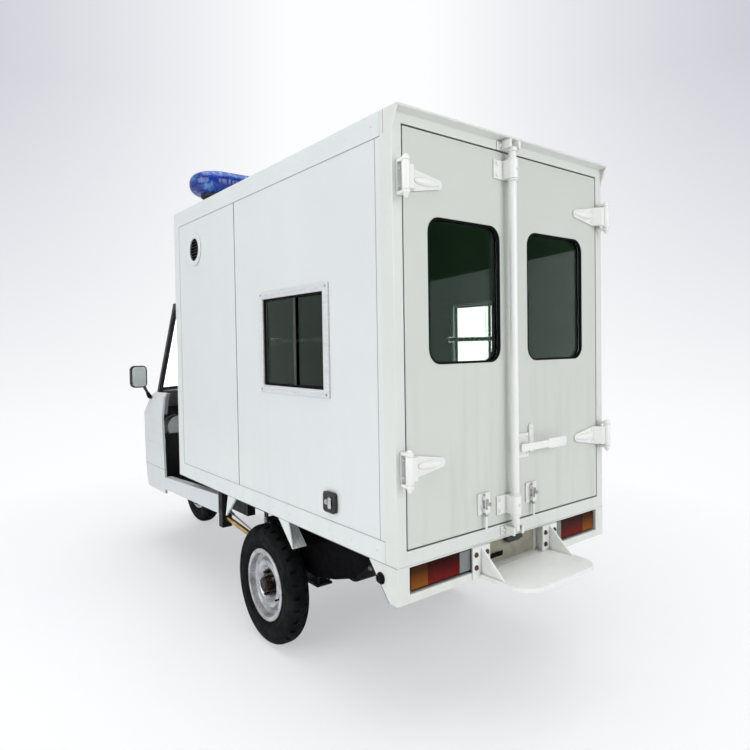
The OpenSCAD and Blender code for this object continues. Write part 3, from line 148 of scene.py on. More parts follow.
def mix(t, fac, a, b):
    """Colour between a and b, each a plain colour or a node's output."""
    m = t.nodes.new("ShaderNodeMix")
    m.data_type = "RGBA"
    for key, v in ((6, a), (7, b)):
        put(t, (*v, 1) if isinstance(v, tuple) else v, m.inputs[key])
    t.links.new(fac, m.inputs[0])
    return m.outputs[2]


def mottled(t, vector, scale, dark, light, detail=4.0):
    return mix(t, ramp(t, noise(t, vector, scale, detail), 0, 1), dark, light)


def dimmed(color, share):
    return tuple(c * share for c in color)


def bump(t, b, height, strength, distance):
    n = t.nodes.new("ShaderNodeBump")
    n.inputs["Strength"].default_value = strength
    n.inputs["Distance"].default_value = distance
    t.links.new(height, n.inputs["Height"])
    t.links.new(n.outputs["Normal"], b.inputs["Normal"])


# Finishes


def surface(name, color, rough, metal, vary, scale, grain, depth, stretch=None, shine=0.5):
    """Surface with patchy colour, uneven gloss and a fine grain."""
    m, t, b = new_tree(name)
    v = coords(t, stretch)
    t.links.new(mottled(t, v, scale, dimmed(color, vary), color), b.inputs["Base Color"])
    t.links.new(ramp(t, noise(t, v, scale * 3.1), rough * 0.82, rough * 1.2), b.inputs["Roughness"])
    b.inputs["Metallic"].default_value = metal
    b.inputs["Specular IOR Level"].default_value = shine
    bump(t, b, noise(t, v, grain, 2.0), depth, 0.0008)
    return m


GRIME = (0.42, 0.42, 0.33)
# dark colour of the painted shade in corners and creases
CORNER_SHADE = (0.13, 0.14, 0.11)
# colour of the painted shade inside hollows
CORE_SHADE = (0.03, 0.031, 0.033)


def white_paint(name, color, low, high, amount, inside=None, core=None):
    """Sprayed white sheet with slow waves, streaks of grime between two heights and painted shade in its
    corners.

    inside gives an axis, the outward sign there (0 for both), a limit and the colour behind it, a near-black
    painted shade for the faces inside.
    core gives a point: faces that look towards it are painted dark, a painted shade for the hollow round it.
    """
    m, t, b = new_tree(name)
    v = coords(t)
    place = axes_of(t, v)
    streaks = noise(t, coords(t, (9, 9, 0.7)), 2.2, 5.0)
    foot = ramp(t, place["Z"], 1.0, 0.0, low, high)
    dirt = math_node(t, "MULTIPLY", foot, ramp(t, streaks, 0.0, amount, 0.48, 0.8))
    clean = mix(t, ramp(t, noise(t, v, 2.3, 3.0), 0, 1, 0.3, 0.7), dimmed(color, 0.965), color)
    col = mix(t, dirt, clean, GRIME)
    # painted shade: ambient occlusion darkens corners, creases and gaps towards a dark colour
    corner = t.nodes.new("ShaderNodeAmbientOcclusion")
    corner.samples = 8
    corner.inputs["Distance"].default_value = CORNER_REACH
    col = mix(t, ramp(t, corner.outputs["AO"], 0.6, 0.0, 0.3, 0.7), col, CORNER_SHADE)
    b.inputs["Coat Weight"].default_value = 0.25
    b.inputs["Coat Roughness"].default_value = 0.12
    # painted shade: faces behind the limit take a near-black colour with little shine, in place of the shade
    # inside the hollow
    if inside is not None:
        axis, sign, limit, inside_shade_colour = inside
        depth = place[axis] if sign else math_node(t, "ABSOLUTE", place[axis])
        within = math_node(t, "GREATER_THAN" if sign < 0 else "LESS_THAN", depth, limit)
        col = mix(t, within, col, inside_shade_colour)
        t.links.new(ramp(t, within, 0.5, 0.03, 0, 1), b.inputs["Specular IOR Level"])
        t.links.new(ramp(t, within, 0.25, 0.0, 0, 1), b.inputs["Coat Weight"])
    if core is not None:
        # painted shade: faces turned towards the core point are darkened
        normal = t.nodes.new("ShaderNodeNewGeometry").outputs["True Normal"]
        facing = vector_node(t, "DOT_PRODUCT", vector_node(t, "SUBTRACT", v, core), normal)
        col = mix(t, ramp(t, facing, 1, 0, -0.12, -0.08), col, CORE_SHADE)
    t.links.new(col, b.inputs["Base Color"])
    t.links.new(ramp(t, noise(t, v, 14.0), 0.3, 0.42), b.inputs["Roughness"])
    waves = math_node(t, "MULTIPLY_ADD", noise(t, v, 3.2, 2.0), 3.0, noise(t, v, 150.0, 2.0))
    bump(t, b, waves, 0.12, 0.0012)
    return m


def tinted_glass(name, tint, dark=None):
    """Clouded pane; with dark given, the panes left of the middle are that much darker."""
    m, t, b = new_tree(name)
    v = coords(t)
    col = mottled(t, v, 3.0, dimmed(tint, 0.86), tint)
    if dark:
        col = mix(t, ramp(t, axes_of(t, v)["Y"], 0.0, 1.0, -0.1, 0.1), col, dark)
    t.links.new(col, b.inputs["Base Color"])
    b.inputs["Transmission Weight"].default_value = 1.0
    b.inputs["IOR"].default_value = 1.32
    b.inputs["Specular Tint"].default_value = (0.72, 1.0, 0.84, 1)
    t.links.new(ramp(t, noise(t, v, 20.0), 0.01, 0.032), b.inputs["Roughness"])
    return m


# painted light: below this band the tail lamps' lower edge glows, standing in for light caught there; the
# lamps are not lit
PAINTED_GLOW_BAND = (0.565, 0.625)  # heights between which the tail lamps fade, in metres


def lens(name, color, ribs, glow, trans, shine=0.5, glint=None, foot=None):
    """Moulded lamp lens with fine upright ribs; a foot colour glows towards its lower edge as painted light,
    and a glint colour gives painted glints.
    """
    m, t, b = new_tree(name)
    v = coords(t)
    w = t.nodes.new("ShaderNodeTexWave")
    w.wave_type = "BANDS"
    w.bands_direction = "Y"
    w.inputs["Scale"].default_value = ribs
    t.links.new(v, w.inputs["Vector"])
    col = mottled(t, v, 9.0, dimmed(color, 0.72), color)
    if glint:
        # painted highlight: noise spots lighten the colour towards the glint colour
        painted_glint_spots = noise(t, coords(t, (16, 40, 16)), 1.0, 2.0)
        col = mix(t, ramp(t, painted_glint_spots, 0, 1, 0.52, 0.8), col, glint)
    t.links.new(col, b.inputs["Base Color"])
    b.inputs["Transmission Weight"].default_value = trans
    b.inputs["Specular IOR Level"].default_value = shine
    b.inputs["IOR"].default_value = 1.45
    t.links.new(ramp(t, noise(t, v, 40.0), 0.07, 0.16), b.inputs["Roughness"])
    b.inputs["Emission Color"].default_value = (*(foot or color), 1)
    b.inputs["Emission Strength"].default_value = glow
    # painted light: the lower edge glows in the foot colour
    if foot:
        t.links.new(ramp(t, axes_of(t, v)["Z"], 1.0, glow, *PAINTED_GLOW_BAND), b.inputs["Emission Strength"])
    bump(t, b, w.outputs["Fac"], 0.35, 0.002)
    return m


def tyre_rubber(name):
    m, t, b = new_tree(name)
    v = coords(t)
    col = mottled(t, v, 11.0, (0.004, 0.004, 0.0045), (0.01, 0.0105, 0.011), 6.0)
    t.links.new(col, b.inputs["Base Color"])
    b.inputs["Specular IOR Level"].default_value = 0.06
    t.links.new(ramp(t, noise(t, v, 30.0), 0.5, 0.8), b.inputs["Roughness"])
    bump(t, b, noise(t, v, 420.0, 3.0), 0.25, 0.0012)
    return m


def rim_paint(name, s, y):
    """Silver rim that turns dark and rusty round its hub."""
    m, t, b = new_tree(name)
    v = coords(t)
    spoke = vector_node(t, "MULTIPLY", vector_node(t, "SUBTRACT", v, at(s, y, WHEEL_Z)), (1, 0, 1))
    wobble = math_node(t, "MULTIPLY_ADD", noise(t, v, 30.0), 0.02, vector_node(t, "LENGTH", spoke))
    silver = mottled(t, v, 18.0, (0.36, 0.365, 0.37), (0.62, 0.63, 0.64), 6.0)
    rust = mottled(t, v, 60.0, (0.014, 0.012, 0.011), (0.07, 0.04, 0.028))
    t.links.new(mix(t, ramp(t, wobble, 1.0, 0.0, 0.07, 0.085), silver, rust), b.inputs["Base Color"])
    b.inputs["Metallic"].default_value = 0.8
    t.links.new(ramp(t, noise(t, v, 45.0), 0.26, 0.46), b.inputs["Roughness"])
    bump(t, b, noise(t, v, 200.0, 2.0), 0.2, 0.0008)
    return m


WHITE = (0.69, 0.71, 0.665)
# painted light: the fittings' white is a lighter copy of the frame white, brightening hinges, lock bar, handle
# and step that sit in shade
FITTING_LIT_WHITE = (0.8, 0.81, 0.775)
# the doors' white is a darker, greener copy of the wall white: painted shade for the rear face
DOOR_SHADED_WHITE = (0.605, 0.635, 0.575)
SIDE = (0.7, 0.735, 0.72)
CAB = (0.66, 0.69, 0.69)
# near-black painted shade for the faces inside the box
INSIDE_SHADE = (0.007, 0.012, 0.009)
CAB_MIDDLE = at(2760, 0, 830)
FINISHES = {
    "paint": white_paint("white_frame_paint", WHITE, 0.45, 0.9, 0.35),
    "bright": white_paint("fittings_paint_lit", FITTING_LIT_WHITE, 0.4, 0.7, 0.15),
    "door": white_paint("door_paint_shaded", DOOR_SHADED_WHITE, 0.7, 1.6, 0.45),
    "wall_l": white_paint("left_wall_paint", SIDE, 0.6, 1.3, 0.12, ("Y", 1, 0.5835, INSIDE_SHADE)),
    "wall_r": white_paint("right_wall_paint", SIDE, 0.6, 1.3, 0.12, ("Y", -1, -0.5835, INSIDE_SHADE)),
    "front": white_paint("front_wall_paint", SIDE, 0.6, 1.3, 0.4, ("X", 1, 1.984 - MID, INSIDE_SHADE)),
    "roof": white_paint("roof_paint", SIDE, 0.6, 1.3, 0.4, ("Z", 1, 2.1585, INSIDE_SHADE)),
    # the vent's inner faces get near-black painted shade
    "vent": white_paint("vent_paint", SIDE, 0.6, 1.3, 0.1, ("Y", 1, 0.6088, (0.012, 0.013, 0.013))),
    # the mudguards' inner faces, round the wheels, get near-black painted shade
    "flap": white_paint("mudguard_paint", SIDE, 0.4, 0.7, 0.3, ("Y", 0, 0.54, (0.006, 0.006, 0.007))),
    "cowl": white_paint("cowl_paint", CAB, 0.35, 0.8, 0.2),
    # cowl faces that look into the cab get painted shade
    "shell": white_paint("cowl_shell_paint", CAB, 0.35, 0.8, 0.2, core=CAB_MIDDLE),
    "black_steel": surface("black_chassis_paint", (0.012, 0.012, 0.013), 0.5, 0.0, 0.6, 9.0, 120.0, 0.3,
                           shine=0.2),
    "dark_steel": surface("dark_steel", (0.022, 0.022, 0.024), 0.55, 0.2, 0.55, 14.0, 160.0, 0.4, shine=0.25),
    "cast": surface("cast_alloy", (0.42, 0.43, 0.44), 0.48, 0.8, 0.75, 16.0, 300.0, 0.5),
    "zinc": surface("yellow_zinc", (0.62, 0.42, 0.16), 0.32, 0.9, 0.6, 22.0, 90.0, 0.1),
    "steel": surface("bright_steel", (0.62, 0.63, 0.64), 0.26, 1.0, 0.8, 18.0, 200.0, 0.1),
    "alu": surface("satin_alloy", (0.74, 0.755, 0.76), 0.36, 0.25, 0.9, 20.0, 500.0, 0.12, stretch=(1, 1, 6)),
    "bar": surface("dark_alloy", (0.05, 0.062, 0.052), 0.6, 0.1, 0.8, 20.0, 400.0, 0.15),
    "grey": surface("grey_grained_plastic", (0.26, 0.27, 0.28), 0.5, 0.0, 0.85, 12.0, 900.0, 0.4),
    "black_plastic": surface("black_grained_plastic", (0.022, 0.022, 0.024), 0.5, 0.0, 0.7, 12.0, 900.0, 0.4),
    "rubber": surface("black_seal", (0.006, 0.006, 0.007), 0.7, 0.0, 0.7, 25.0, 300.0, 0.2, shine=0.08),
    "hub": surface("greasy_hub", (0.03, 0.028, 0.026), 0.45, 0.6, 0.5, 40.0, 120.0, 0.5),
    "bolt": surface("zinc_bolts", (0.5, 0.5, 0.49), 0.36, 0.9, 0.55, 60.0, 200.0, 0.2),
    "rust": surface("rusty_bolts", (0.12, 0.06, 0.045), 0.6, 0.2, 0.5, 60.0, 200.0, 0.3),
    "sheet": surface("galvanised_sheet", (0.4, 0.41, 0.42), 0.42, 0.75, 0.7, 25.0, 90.0, 0.15),
    "vinyl": surface("green_vinyl", (0.03, 0.17, 0.1), 0.4, 0.0, 0.8, 10.0, 700.0, 0.35),
    "seat": surface("black_vinyl", (0.02, 0.02, 0.022), 0.42, 0.0, 0.75, 10.0, 700.0, 0.35),
    # painted shade: near-black sheet under the box that darkens the shade round the axle and springs
    "apron": surface("black_shade_sheet", (0.005, 0.005, 0.006), 0.7, 0.0, 0.6, 9.0, 200.0, 0.3, shine=0.04),
    "beige": surface("dusty_panel", (0.33, 0.31, 0.24), 0.6, 0.0, 0.7, 14.0, 120.0, 0.3),
    "mirror": surface("mirror_glass", (0.8, 0.82, 0.83), 0.04, 1.0, 0.94, 3.0, 60.0, 0.01),
    "tyre": tyre_rubber("tyre_rubber"),
    "rim_l": rim_paint("left_rim_paint", REAR_S, WHEEL_Y),
    "rim_r": rim_paint("right_rim_paint", REAR_S, -WHEEL_Y),
    "rim_f": rim_paint("front_rim_paint", FRONT_S, 0),
    "smoke": tinted_glass("dark_glass", (0.42, 0.5, 0.44)),
    "side_smoke": tinted_glass("side_glass", (0.9, 0.93, 0.91), dark=(0.1, 0.13, 0.1)),
    "screen": tinted_glass("clear_glass", (0.9, 0.94, 0.93)),
    # red and amber lenses: painted glow along their lower edge
    "red": lens("red_lens", (0.03, 0.001, 0.001), 60, 0.01, 0.05, 0.04, foot=(0.1, 0.004, 0.003)),
    "amber": lens("amber_lens", (0.045, 0.011, 0.001), 60, 0.01, 0.05, 0.04, foot=(0.17, 0.055, 0.004)),
    "clear": lens("clear_lens", (0.36, 0.38, 0.38), 60, 0.0, 0.4),
    # blue lens: painted glints in its colour
    "blue": lens("blue_lens", (0.003, 0.04, 0.36), 14, 0.02, 0.35, 0.7, (0.16, 0.42, 0.85)),
}

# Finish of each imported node
FINISHED = {
    "paint": ("rear_frame", "rear_bumper"),
    "bright": ("hinge_brackets", "left_door_hinges", "right_door_hinges", "lock_bar", "door_handle",
               "rear_step"),
    "door": ("left_door", "right_door"),
    "wall_l": ("box_left_wall",),
    "wall_r": ("box_right_wall",),
    "front": ("box_front_wall",),
    "roof": ("box_roof",),
    "vent": ("vent_fan",),
    "flap": ("mudguards",),
    "cowl": ("cab_sills", "cab_roof"),
    "shell": ("front_cowl", "lower_cowl"),
    "black_steel": ("chassis_frame", "outriggers", "drive_shaft", "fork", "handlebar"),
    "dark_steel": ("leaf_springs", "rear_axle"),
    "cast": ("engine",),
    "zinc": ("torque_rods",),
    "steel": ("exhaust", "hand_rails"),
    "alu": ("side_window_frames", "stretcher"),
    "grey": ("dash",),
    "black_plastic": ("cab_floor", "windscreen_frame", "seat_box", "mirrors", "side_lock", "light_bar_base",
                      "front_mudguard"),
    "sheet": ("box_floor",),
    "vinyl": ("mattress",),
    "seat": ("driver_seat",),
    # splash aprons: near-black sheet standing in for shade under the box
    "apron": ("splash_aprons",),
    "tyre": ("front_tyre", "rear_left_tyre", "rear_right_tyre"),
    "rim_l": ("rear_left_rim",),
    "rim_r": ("rear_right_rim",),
    "rim_f": ("front_rim",),
    "smoke": ("left_door_glass", "right_door_glass"),
    "side_smoke": ("side_window_glass",),
    "screen": ("windscreen",),
    "red": ("lamps_red",),
    "amber": ("lamps_amber",),
    "clear": ("lamps_clear", "headlamps"),
    "blue": ("light_bar",),
}
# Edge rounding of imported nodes, in millimetres
ROUNDED = {
    10: ("mirrors",),
    8: ("seat_box",),
    6: ("cab_sills",),
    5: ("engine",),
    4: ("left_door", "right_door"),
    3: ("rear_frame", "left_door_hinges", "right_door_hinges", "side_lock", "light_bar_base",
        "chassis_frame"),
    2: ("box_left_wall", "box_right_wall", "rear_bumper", "rear_step", "door_handle", "side_window_frames",
        "lamps_red", "lamps_amber", "lamps_clear", "outriggers"),
    1.5: ("hinge_brackets", "lock_bar"),
}
ROUND_ANGLE = math.radians(35)


def rounded(o, width):
    weld = o.modifiers.new("weld", "WELD")
    weld.merge_threshold = WELD
    bevel = o.modifiers.new("round", "BEVEL")
    bevel.width = width
    bevel.segments = 3
    bevel.limit_method = "ANGLE"
    bevel.angle_limit = ROUND_ANGLE
    bevel.use_clamp_overlap = True
    bevel.harden_normals = False


for finish, names in FINISHED.items():
    for name in names:
        nodes[name].data.materials.clear()
        nodes[name].data.materials.append(FINISHES[finish])
for width, names in ROUNDED.items():
    for name in names:
        rounded(nodes[name], width / 1000)

# Shape helpers, with sizes in metres

SHARP = math.radians(38)


def piece(name, bm, finish, body, smooth=True):
    """Makes a finished mesh an object that rides on a body."""
    bmesh.ops.recalc_face_normals(bm, faces=bm.faces)
    me = bpy.data.meshes.new(name)
    bm.to_mesh(me)
    bm.free()
    for p in me.polygons:
        p.use_smooth = smooth
    o = bpy.data.objects.new(name, me)
    scene.collection.objects.link(o)
    if smooth:
        me.set_sharp_from_angle(angle=SHARP)
    me.materials.append(FINISHES[finish])
    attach(o, body)
    return o


def turn_to(direction):
    return direction.to_track_quat("Z", "Y").to_matrix().to_4x4()


def frame_at(p, x, y):
    """Matrix of a frame at p with two given axes."""
    return Matrix.Translation(p) @ Matrix((x, y, x.cross(y))).transposed().to_4x4()


def drum(bm, a, b, r, r2=None, seg=16):
    """Round bar or cone from a to b, its ends closed."""
    d = b - a
    m = Matrix.Translation((a + b) / 2) @ turn_to(d)
    far = r if r2 is None else r2
    bmesh.ops.create_cone(bm, cap_ends=True, segments=seg, radius1=r, radius2=far, depth=d.length, matrix=m)


def slab(bm, lo, hi, edge=0.0, seg=2):
    """Block between two corners with rounded edges."""
    m = Matrix.Translation((lo + hi) / 2) @ Matrix.Diagonal((*(hi - lo), 1))
    made = bmesh.ops.create_cube(bm, size=1, matrix=m)["verts"]
    if edge:
        edges = list({e for v in made for e in v.link_edges})
        bmesh.ops.bevel(bm, geom=edges, offset=edge, segments=seg, profile=0.5, affect="EDGES",
                        clamp_overlap=True, material=-1)


def hexbolt(bm, p, n, r, h):
    """Hexagon head with a washer, standing on p and pointing along n."""
    drum(bm, p, p + n * 0.0016, r * 1.55, seg=20)
    drum(bm, p + n * 0.0015, p + n * h, r, r * 0.94, seg=6)


def dome(bm, p, n, r, h):
    """Round rivet or screw head."""
    drum(bm, p, p + n * h * 0.55, r, r * 0.92, seg=14)
    drum(bm, p + n * h * 0.54, p + n * h, r * 0.92, r * 0.45, seg=14)


def extruded(bm, edges, move):
    """Extrudes a loop of edges, moves the new loop and gives its vertices and edges."""
    made = bmesh.ops.extrude_edge_only(bm, edges=edges)["geom"]
    verts = [g for g in made if isinstance(g, bmesh.types.BMVert)]
    bmesh.ops.transform(bm, matrix=move, verts=verts)
    return verts, [g for g in made if isinstance(g, bmesh.types.BMEdge)]


def sweep(bm, path, section):
    """Closed band: a section, as offsets outward and up, extruded along the places of a closed path."""
    frames = [frame_at(*place) for place in path]
    first = [bm.verts.new(frames[0] @ Vector((u, v, 0))) for u, v in section]
    edges = [bm.edges.new(ends) for ends in zip(first, first[1:] + first[:1])]
    for here, there in zip(frames, frames[1:] + frames[:1]):
        last, edges = extruded(bm, edges, there @ here.inverted())
    bmesh.ops.remove_doubles(bm, verts=first + last, dist=CLOSING)


def arc_path(centre, ax, ay, up, r, angles):
    """Places (point, outward, up) on a circle at the given angles."""
    path = []
    for a in angles:
        n = ax * math.cos(a) + ay * math.sin(a)
        path.append((centre + n * r, n, up))
    return path


def circle_path(centre, ax, ay, up, r, steps, turn=0.0):
    return arc_path(centre, ax, ay, up, r, [turn + TAU * i / steps for i in range(steps)])


def round_rect_path(centre, ax, ay, up, w, h, r, steps=10):
    path = []
    for corner, (cx, cy) in enumerate(((1, 1), (-1, 1), (-1, -1), (1, -1))):
        c = centre + ax * cx * (w / 2 - r) + ay * cy * (h / 2 - r)
        path += arc_path(c, ax, ay, up, r, [TAU / 4 * (corner + i / steps) for i in range(steps + 1)])
    return path


def smooth_route(points, steps=8):
    """Points of a smooth curve through the given ones."""
    fine = []
    for i in range(len(points) - 1):
        p0, p1, p2 = points[max(i - 1, 0)], points[i], points[i + 1]
        p3 = points[min(i + 2, len(points) - 1)]
        for k in range(steps):
            t = k / steps
            square = (2 * p0 - 5 * p1 + 4 * p2 - p3) * t ** 2
            cube = (3 * p1 - p0 - 3 * p2 + p3) * t ** 3
            fine.append(0.5 * (2 * p1 + (p2 - p0) * t + square + cube))
    return fine + [points[-1]]


def tube(bm, points, r, seg=10):
    """Smooth round tube through points, its ends closed."""
    fine = smooth_route(points)
    frames = []
    side = None
    for before, p, after in zip(fine[:1] + fine, fine, fine[1:] + fine[-1:]):
        d = (after - before).normalized()
        if side is None:
            side = Z if abs(d.z) < 0.9 else X
        side = (side - d * side.dot(d)).normalized()
        frames.append(frame_at(p, -d.cross(side), side))
    ring = bmesh.ops.create_circle(bm, segments=seg, radius=r, matrix=frames[0])["verts"]
    first = list({e for v in ring for e in v.link_edges})
    edges = first
    for here, there in zip(frames, frames[1:]):
        ring, edges = extruded(bm, edges, there @ here.inverted())
    for loop in (first, edges):
        bmesh.ops.edgeloop_fill(bm, edges=loop)


# Rear doors: window seals, hinge bolts and drop bolts


def window_seal(side, k):
    width, height, corner = 0.368, 0.507, 0.052
    lip = [(0.003, -0.0005), (0.0032, 0.001), (0.001, 0.0018), (-0.002, 0.0018), (-0.004, 0.0004)]
    bm = bmesh.new()
    for face, out, deep in ((0, BACK, -0.0098), (DOOR_T, X, -0.0218)):
        middle = at(face, k * DOOR_WINDOW_Y, DOOR_WINDOW_Z)
        path = round_rect_path(middle, Y, Z, out, width, height, corner)
        sweep(bm, path, lip + [(-0.0042, deep), (-0.0003, deep), (-0.0003, -0.0005)])
    piece(side + "_window_seal", bm, "rubber", side + "_door")


def hinge_bolts(side, k):
    blade, bulge_in = -8, 118
    plate, plate_z = -6, 763
    bulge_size = Matrix.Diagonal((0.013, 0.056, 0.015, 1))
    bm = bmesh.new()
    for z in HINGE_HEIGHTS:
        for dy, dz in ((66, 24), (66, -24), (178, 0)):
            dome(bm, at(blade, k * (PIN_Y - dy), z + dz), BACK, 0.006, 0.0045)
        bulge = Matrix.Translation(at(blade, k * (PIN_Y - bulge_in), z)) @ bulge_size
        bmesh.ops.create_uvsphere(bm, u_segments=24, v_segments=16, radius=1, matrix=bulge)
    for dy in (-24, 24):
        for dz in (12, 66):
            dome(bm, at(plate, DROP_BOLT_Y[side] + dy, plate_z + dz), BACK, 0.0055, 0.0035)
    piece(side + "_hinge_bolts", bm, "bright", side + "_door")


def drop_bolt_rod(side):
    y, rod = DROP_BOLT_Y[side], -16
    ring = ((-26, 2, 822), (-33, 10, 815), (-33, 16, 800), (-28, 10, 788))
    bm = bmesh.new()
    drum(bm, at(-24, y, 806), at(-36, y, 806), 0.006, 0.008, 16)
    drum(bm, at(rod, y, 758), at(rod, y, 764), 0.0075, seg=16)
    tube(bm, [at(s, y + dy, z) for s, dy, z in ring], 0.0032)
    piece(side + "_drop_bolt_rod", bm, "bolt", side + "_door")


for side, k in SIDES:
    window_seal(side, k)
    hinge_bolts(side, k)
    drop_bolt_rod(side)

# Corner posts: hinge pin heads and bracket bolts
bm = bmesh.new()
for k in MIRRORED:
    for z in HINGE_HEIGHTS:
        pin = at(-PIN_BACK, k * PIN_Y, z)
        drum(bm, pin - Z * 0.0635, pin - Z * 0.074, 0.009, 0.005, 20)
        drum(bm, pin + Z * 0.0635, pin + Z * 0.067, 0.0105, 0.007, 20)
        for dz in (30, -30):
            dome(bm, at(-6, k * (PIN_Y - 4), z + dz), BACK, 0.006, 0.004)
piece("hinge_pin_heads", bm, "bright", "vehicle")

# Lock bar: collars and guide bolts, then the keepers' feet
bm = bmesh.new()
for guide in GUIDE_HEIGHTS:
    for z in (guide - 7, guide + 72):
        drum(bm, at(-BAR_BACK, BAR_Y, z), at(-BAR_BACK, BAR_Y, z + 6), 0.0195, seg=32)
    for dz in (14, 57):
        hexbolt(bm, at(-6, 100, guide + dz), BACK, 0.0075, 0.0065)
    drum(bm, at(-58, BAR_Y, guide + 36), at(-62, BAR_Y, guide + 36), 0.006, 0.004, 12)
drum(bm, at(-BAR_BACK, BAR_Y, 2128), at(-BAR_BACK, BAR_Y, 2140), 0.0185, seg=32)
piece("lock_bar_collars", bm, "bright", "left_door")
bm = bmesh.new()
for z in KEEPER_HEIGHTS:
    for y in (BAR_Y - 36, BAR_Y + 36):
        slab(bm, at(-5, y - 14, z - 17), at(0.2, y + 14, z + 13), 0.0015)
        hexbolt(bm, at(-5, y, z - 1), BACK, 0.007, 0.0065)
piece("keeper_feet", bm, "bright", "vehicle")

# Handle: catch bolt, block screws, pivot and grip plate
bm = bmesh.new()
dome(bm, at(-8, -91, 1066), BACK, 0.008, 0.005)
for y in (-66, -20):
    for z in (962, 1030):
        dome(bm, at(-6, y, z), BACK, 0.006, 0.004)
drum(bm, at(-34, -44, 978), at(-34, -44, 1014), 0.007, seg=16)
slab(bm, at(-50, -262, 976), at(-46, -150, 1016), 0.003)
piece("handle_fittings", bm, "bright", "right_door")

# Rubber between the doors
bm = bmesh.new()
slab(bm, at(30, -4.2, 712), at(38, 4.2, 2128), 0.001)
piece("door_meeting_seal", bm, "rubber", "right_door")


# Side windows: frame screws, gasket and sash bars


def side_window_fittings(side, k):
    bm = bmesh.new()
    for s in (402, 927):
        for z in (1214, 1631):
            dome(bm, at(s, k * 617, z), Y * k, 0.006, 0.003)
    piece(side + "_window_screws", bm, "bolt", "vehicle")
    gasket = [(0, 0), (0, 0.004), (-0.007, 0.002), (-0.009, -0.006), (-0.004, -0.012), (0, -0.012)]
    bm = bmesh.new()
    middle = at(SIDE_WINDOW_S, k * SHEET_Y, SIDE_WINDOW_Z)
    sweep(bm, round_rect_path(middle, X, Z, Y * k, 0.4885, 0.3805, 0.004, 3), gasket)
    piece(side + "_window_gasket", bm, "rubber", "vehicle")
    sash_y, half_t = k * 602.8, 1.4
    bm = bmesh.new()
    for s, width in ((421, 11), (648, 16), (896, 11)):
        slab(bm, at(s, sash_y - half_t, 1234), at(s + width, sash_y + half_t, 1612), 0.0006)
    piece(side + "_window_bars", bm, "bar", "vehicle")


for side, k in SIDES:
    side_window_fittings(side, k)

# Vent: pressed ring with screws, and louvre slats
vent = at(VENT_S, VENT_Y, VENT_Z)
vent_section = [(0.0003, -0.007), (0.0003, -0.002), (-0.004, 0.002), (-0.014, 0.0022), (-0.0265, -0.003),
                (-0.0265, -0.007)]
bm = bmesh.new()
for p, n, up in circle_path(vent, X, Z, Y, 0.078, 6, TAU / 12):
    dome(bm, p, up, 0.0045, 0.003)
sweep(bm, circle_path(vent, X, Z, Y, 0.0885, 64), vent_section)
piece("vent_ring", bm, "wall_l", "vehicle")
slats, slat_pitch, opening_r = 7, 16, 61
slat_tilt = Matrix.Rotation(math.radians(-38), 4, "X")
bm = bmesh.new()
for i in range(slats):
    dz = (i - (slats - 1) / 2) * slat_pitch
    length = 2 * math.sqrt(opening_r ** 2 - dz ** 2) / 1000
    size = Matrix.Diagonal((length, 0.013, 0.0012, 1))
    m = Matrix.Translation(at(VENT_S, SHEET_Y, VENT_Z + dz)) @ slat_tilt @ size
    bmesh.ops.create_cube(bm, size=1, matrix=m)
piece("vent_slats", bm, "black_plastic", "vehicle")

# Side lock: moulded bezel, steel pull and key cover
bezel = [(0.0, -0.008), (0.001, -0.001), (-0.003, 0.0025), (-0.009, 0.0015), (-0.011, -0.001)]
bm = bmesh.new()
sweep(bm, round_rect_path(at(LOCK_S, 624.2, LOCK_Z), X, Z, Y, 0.078, 0.078, 0.012, 6), bezel)
piece("side_lock_bezel", bm, "black_plastic", "vehicle")
bm = bmesh.new()
slab(bm, at(367, 623, 783), at(386, 634, 827), 0.004, 3)
slab(bm, at(394, 623, 795), at(411, 631, 815), 0.003, 3)
drum(bm, at(402, 630, 805), at(402, 633, 805), 0.006, seg=20)
piece("side_lock_pull", bm, "steel", "vehicle")

# Panel joints: sealant along rails and trims, dark joints between sheets, and rivets
SEALANT = (
    (66, 608.4, 728, 1938, 609.6, 730.5),
    (66, 608.4, 2101.5, 1938, 609.6, 2104),
    (1936.5, 608.4, BOX_LOW, 1939, 609.6, BOX_HIGH),
    (92, 608.4, BOX_LOW, 94, 609.6, BOX_HIGH),
    (42.6, 611.6, 2106, 44.4, 612.4, 2186),
    (0.8, 611.6, 651.8, 2010, 612.3, 653.6),
)
bm = bmesh.new()
for k in MIRRORED:
    for s0, y0, z0, s1, y1, z1 in SEALANT:
        slab(bm, at(s0, k * y0, z0), at(s1, k * y1, z1))
piece("panel_sealant", bm, "grey", "vehicle")
bm = bmesh.new()
for k in MIRRORED:
    slab(bm, at(1203.1, k * 606.1, 729), at(1206.9, k * 609.1, 2103))
    low, high = at(46.5, k * SHEET_Y, 525), at(152.5, k * SHEET_Y, 644)
    slope = high - low
    size = Matrix.Diagonal((0.004, 0.0058, slope.length, 1))
    m = Matrix.Translation((low + high) / 2) @ turn_to(slope) @ size
    bmesh.ops.create_cube(bm, size=1, matrix=m)
piece("dark_joints", bm, "rubber", "vehicle")
bm = bmesh.new()
for k in MIRRORED:
    spots = [(110 + i * 150, z) for i in range(13) for z in (690, 2145)]
    spots += [(1976, 760 + i * 160) for i in range(9)]
    for s, z in spots:
        dome(bm, at(s, k * RAIL_Y, z), Y * k, 0.004, 0.002)
piece("panel_rivets", bm, "paint", "vehicle")


# Rear bumper: lamp bezels and screws, step bolts, number plate's panel with clips and lamp, side plugs


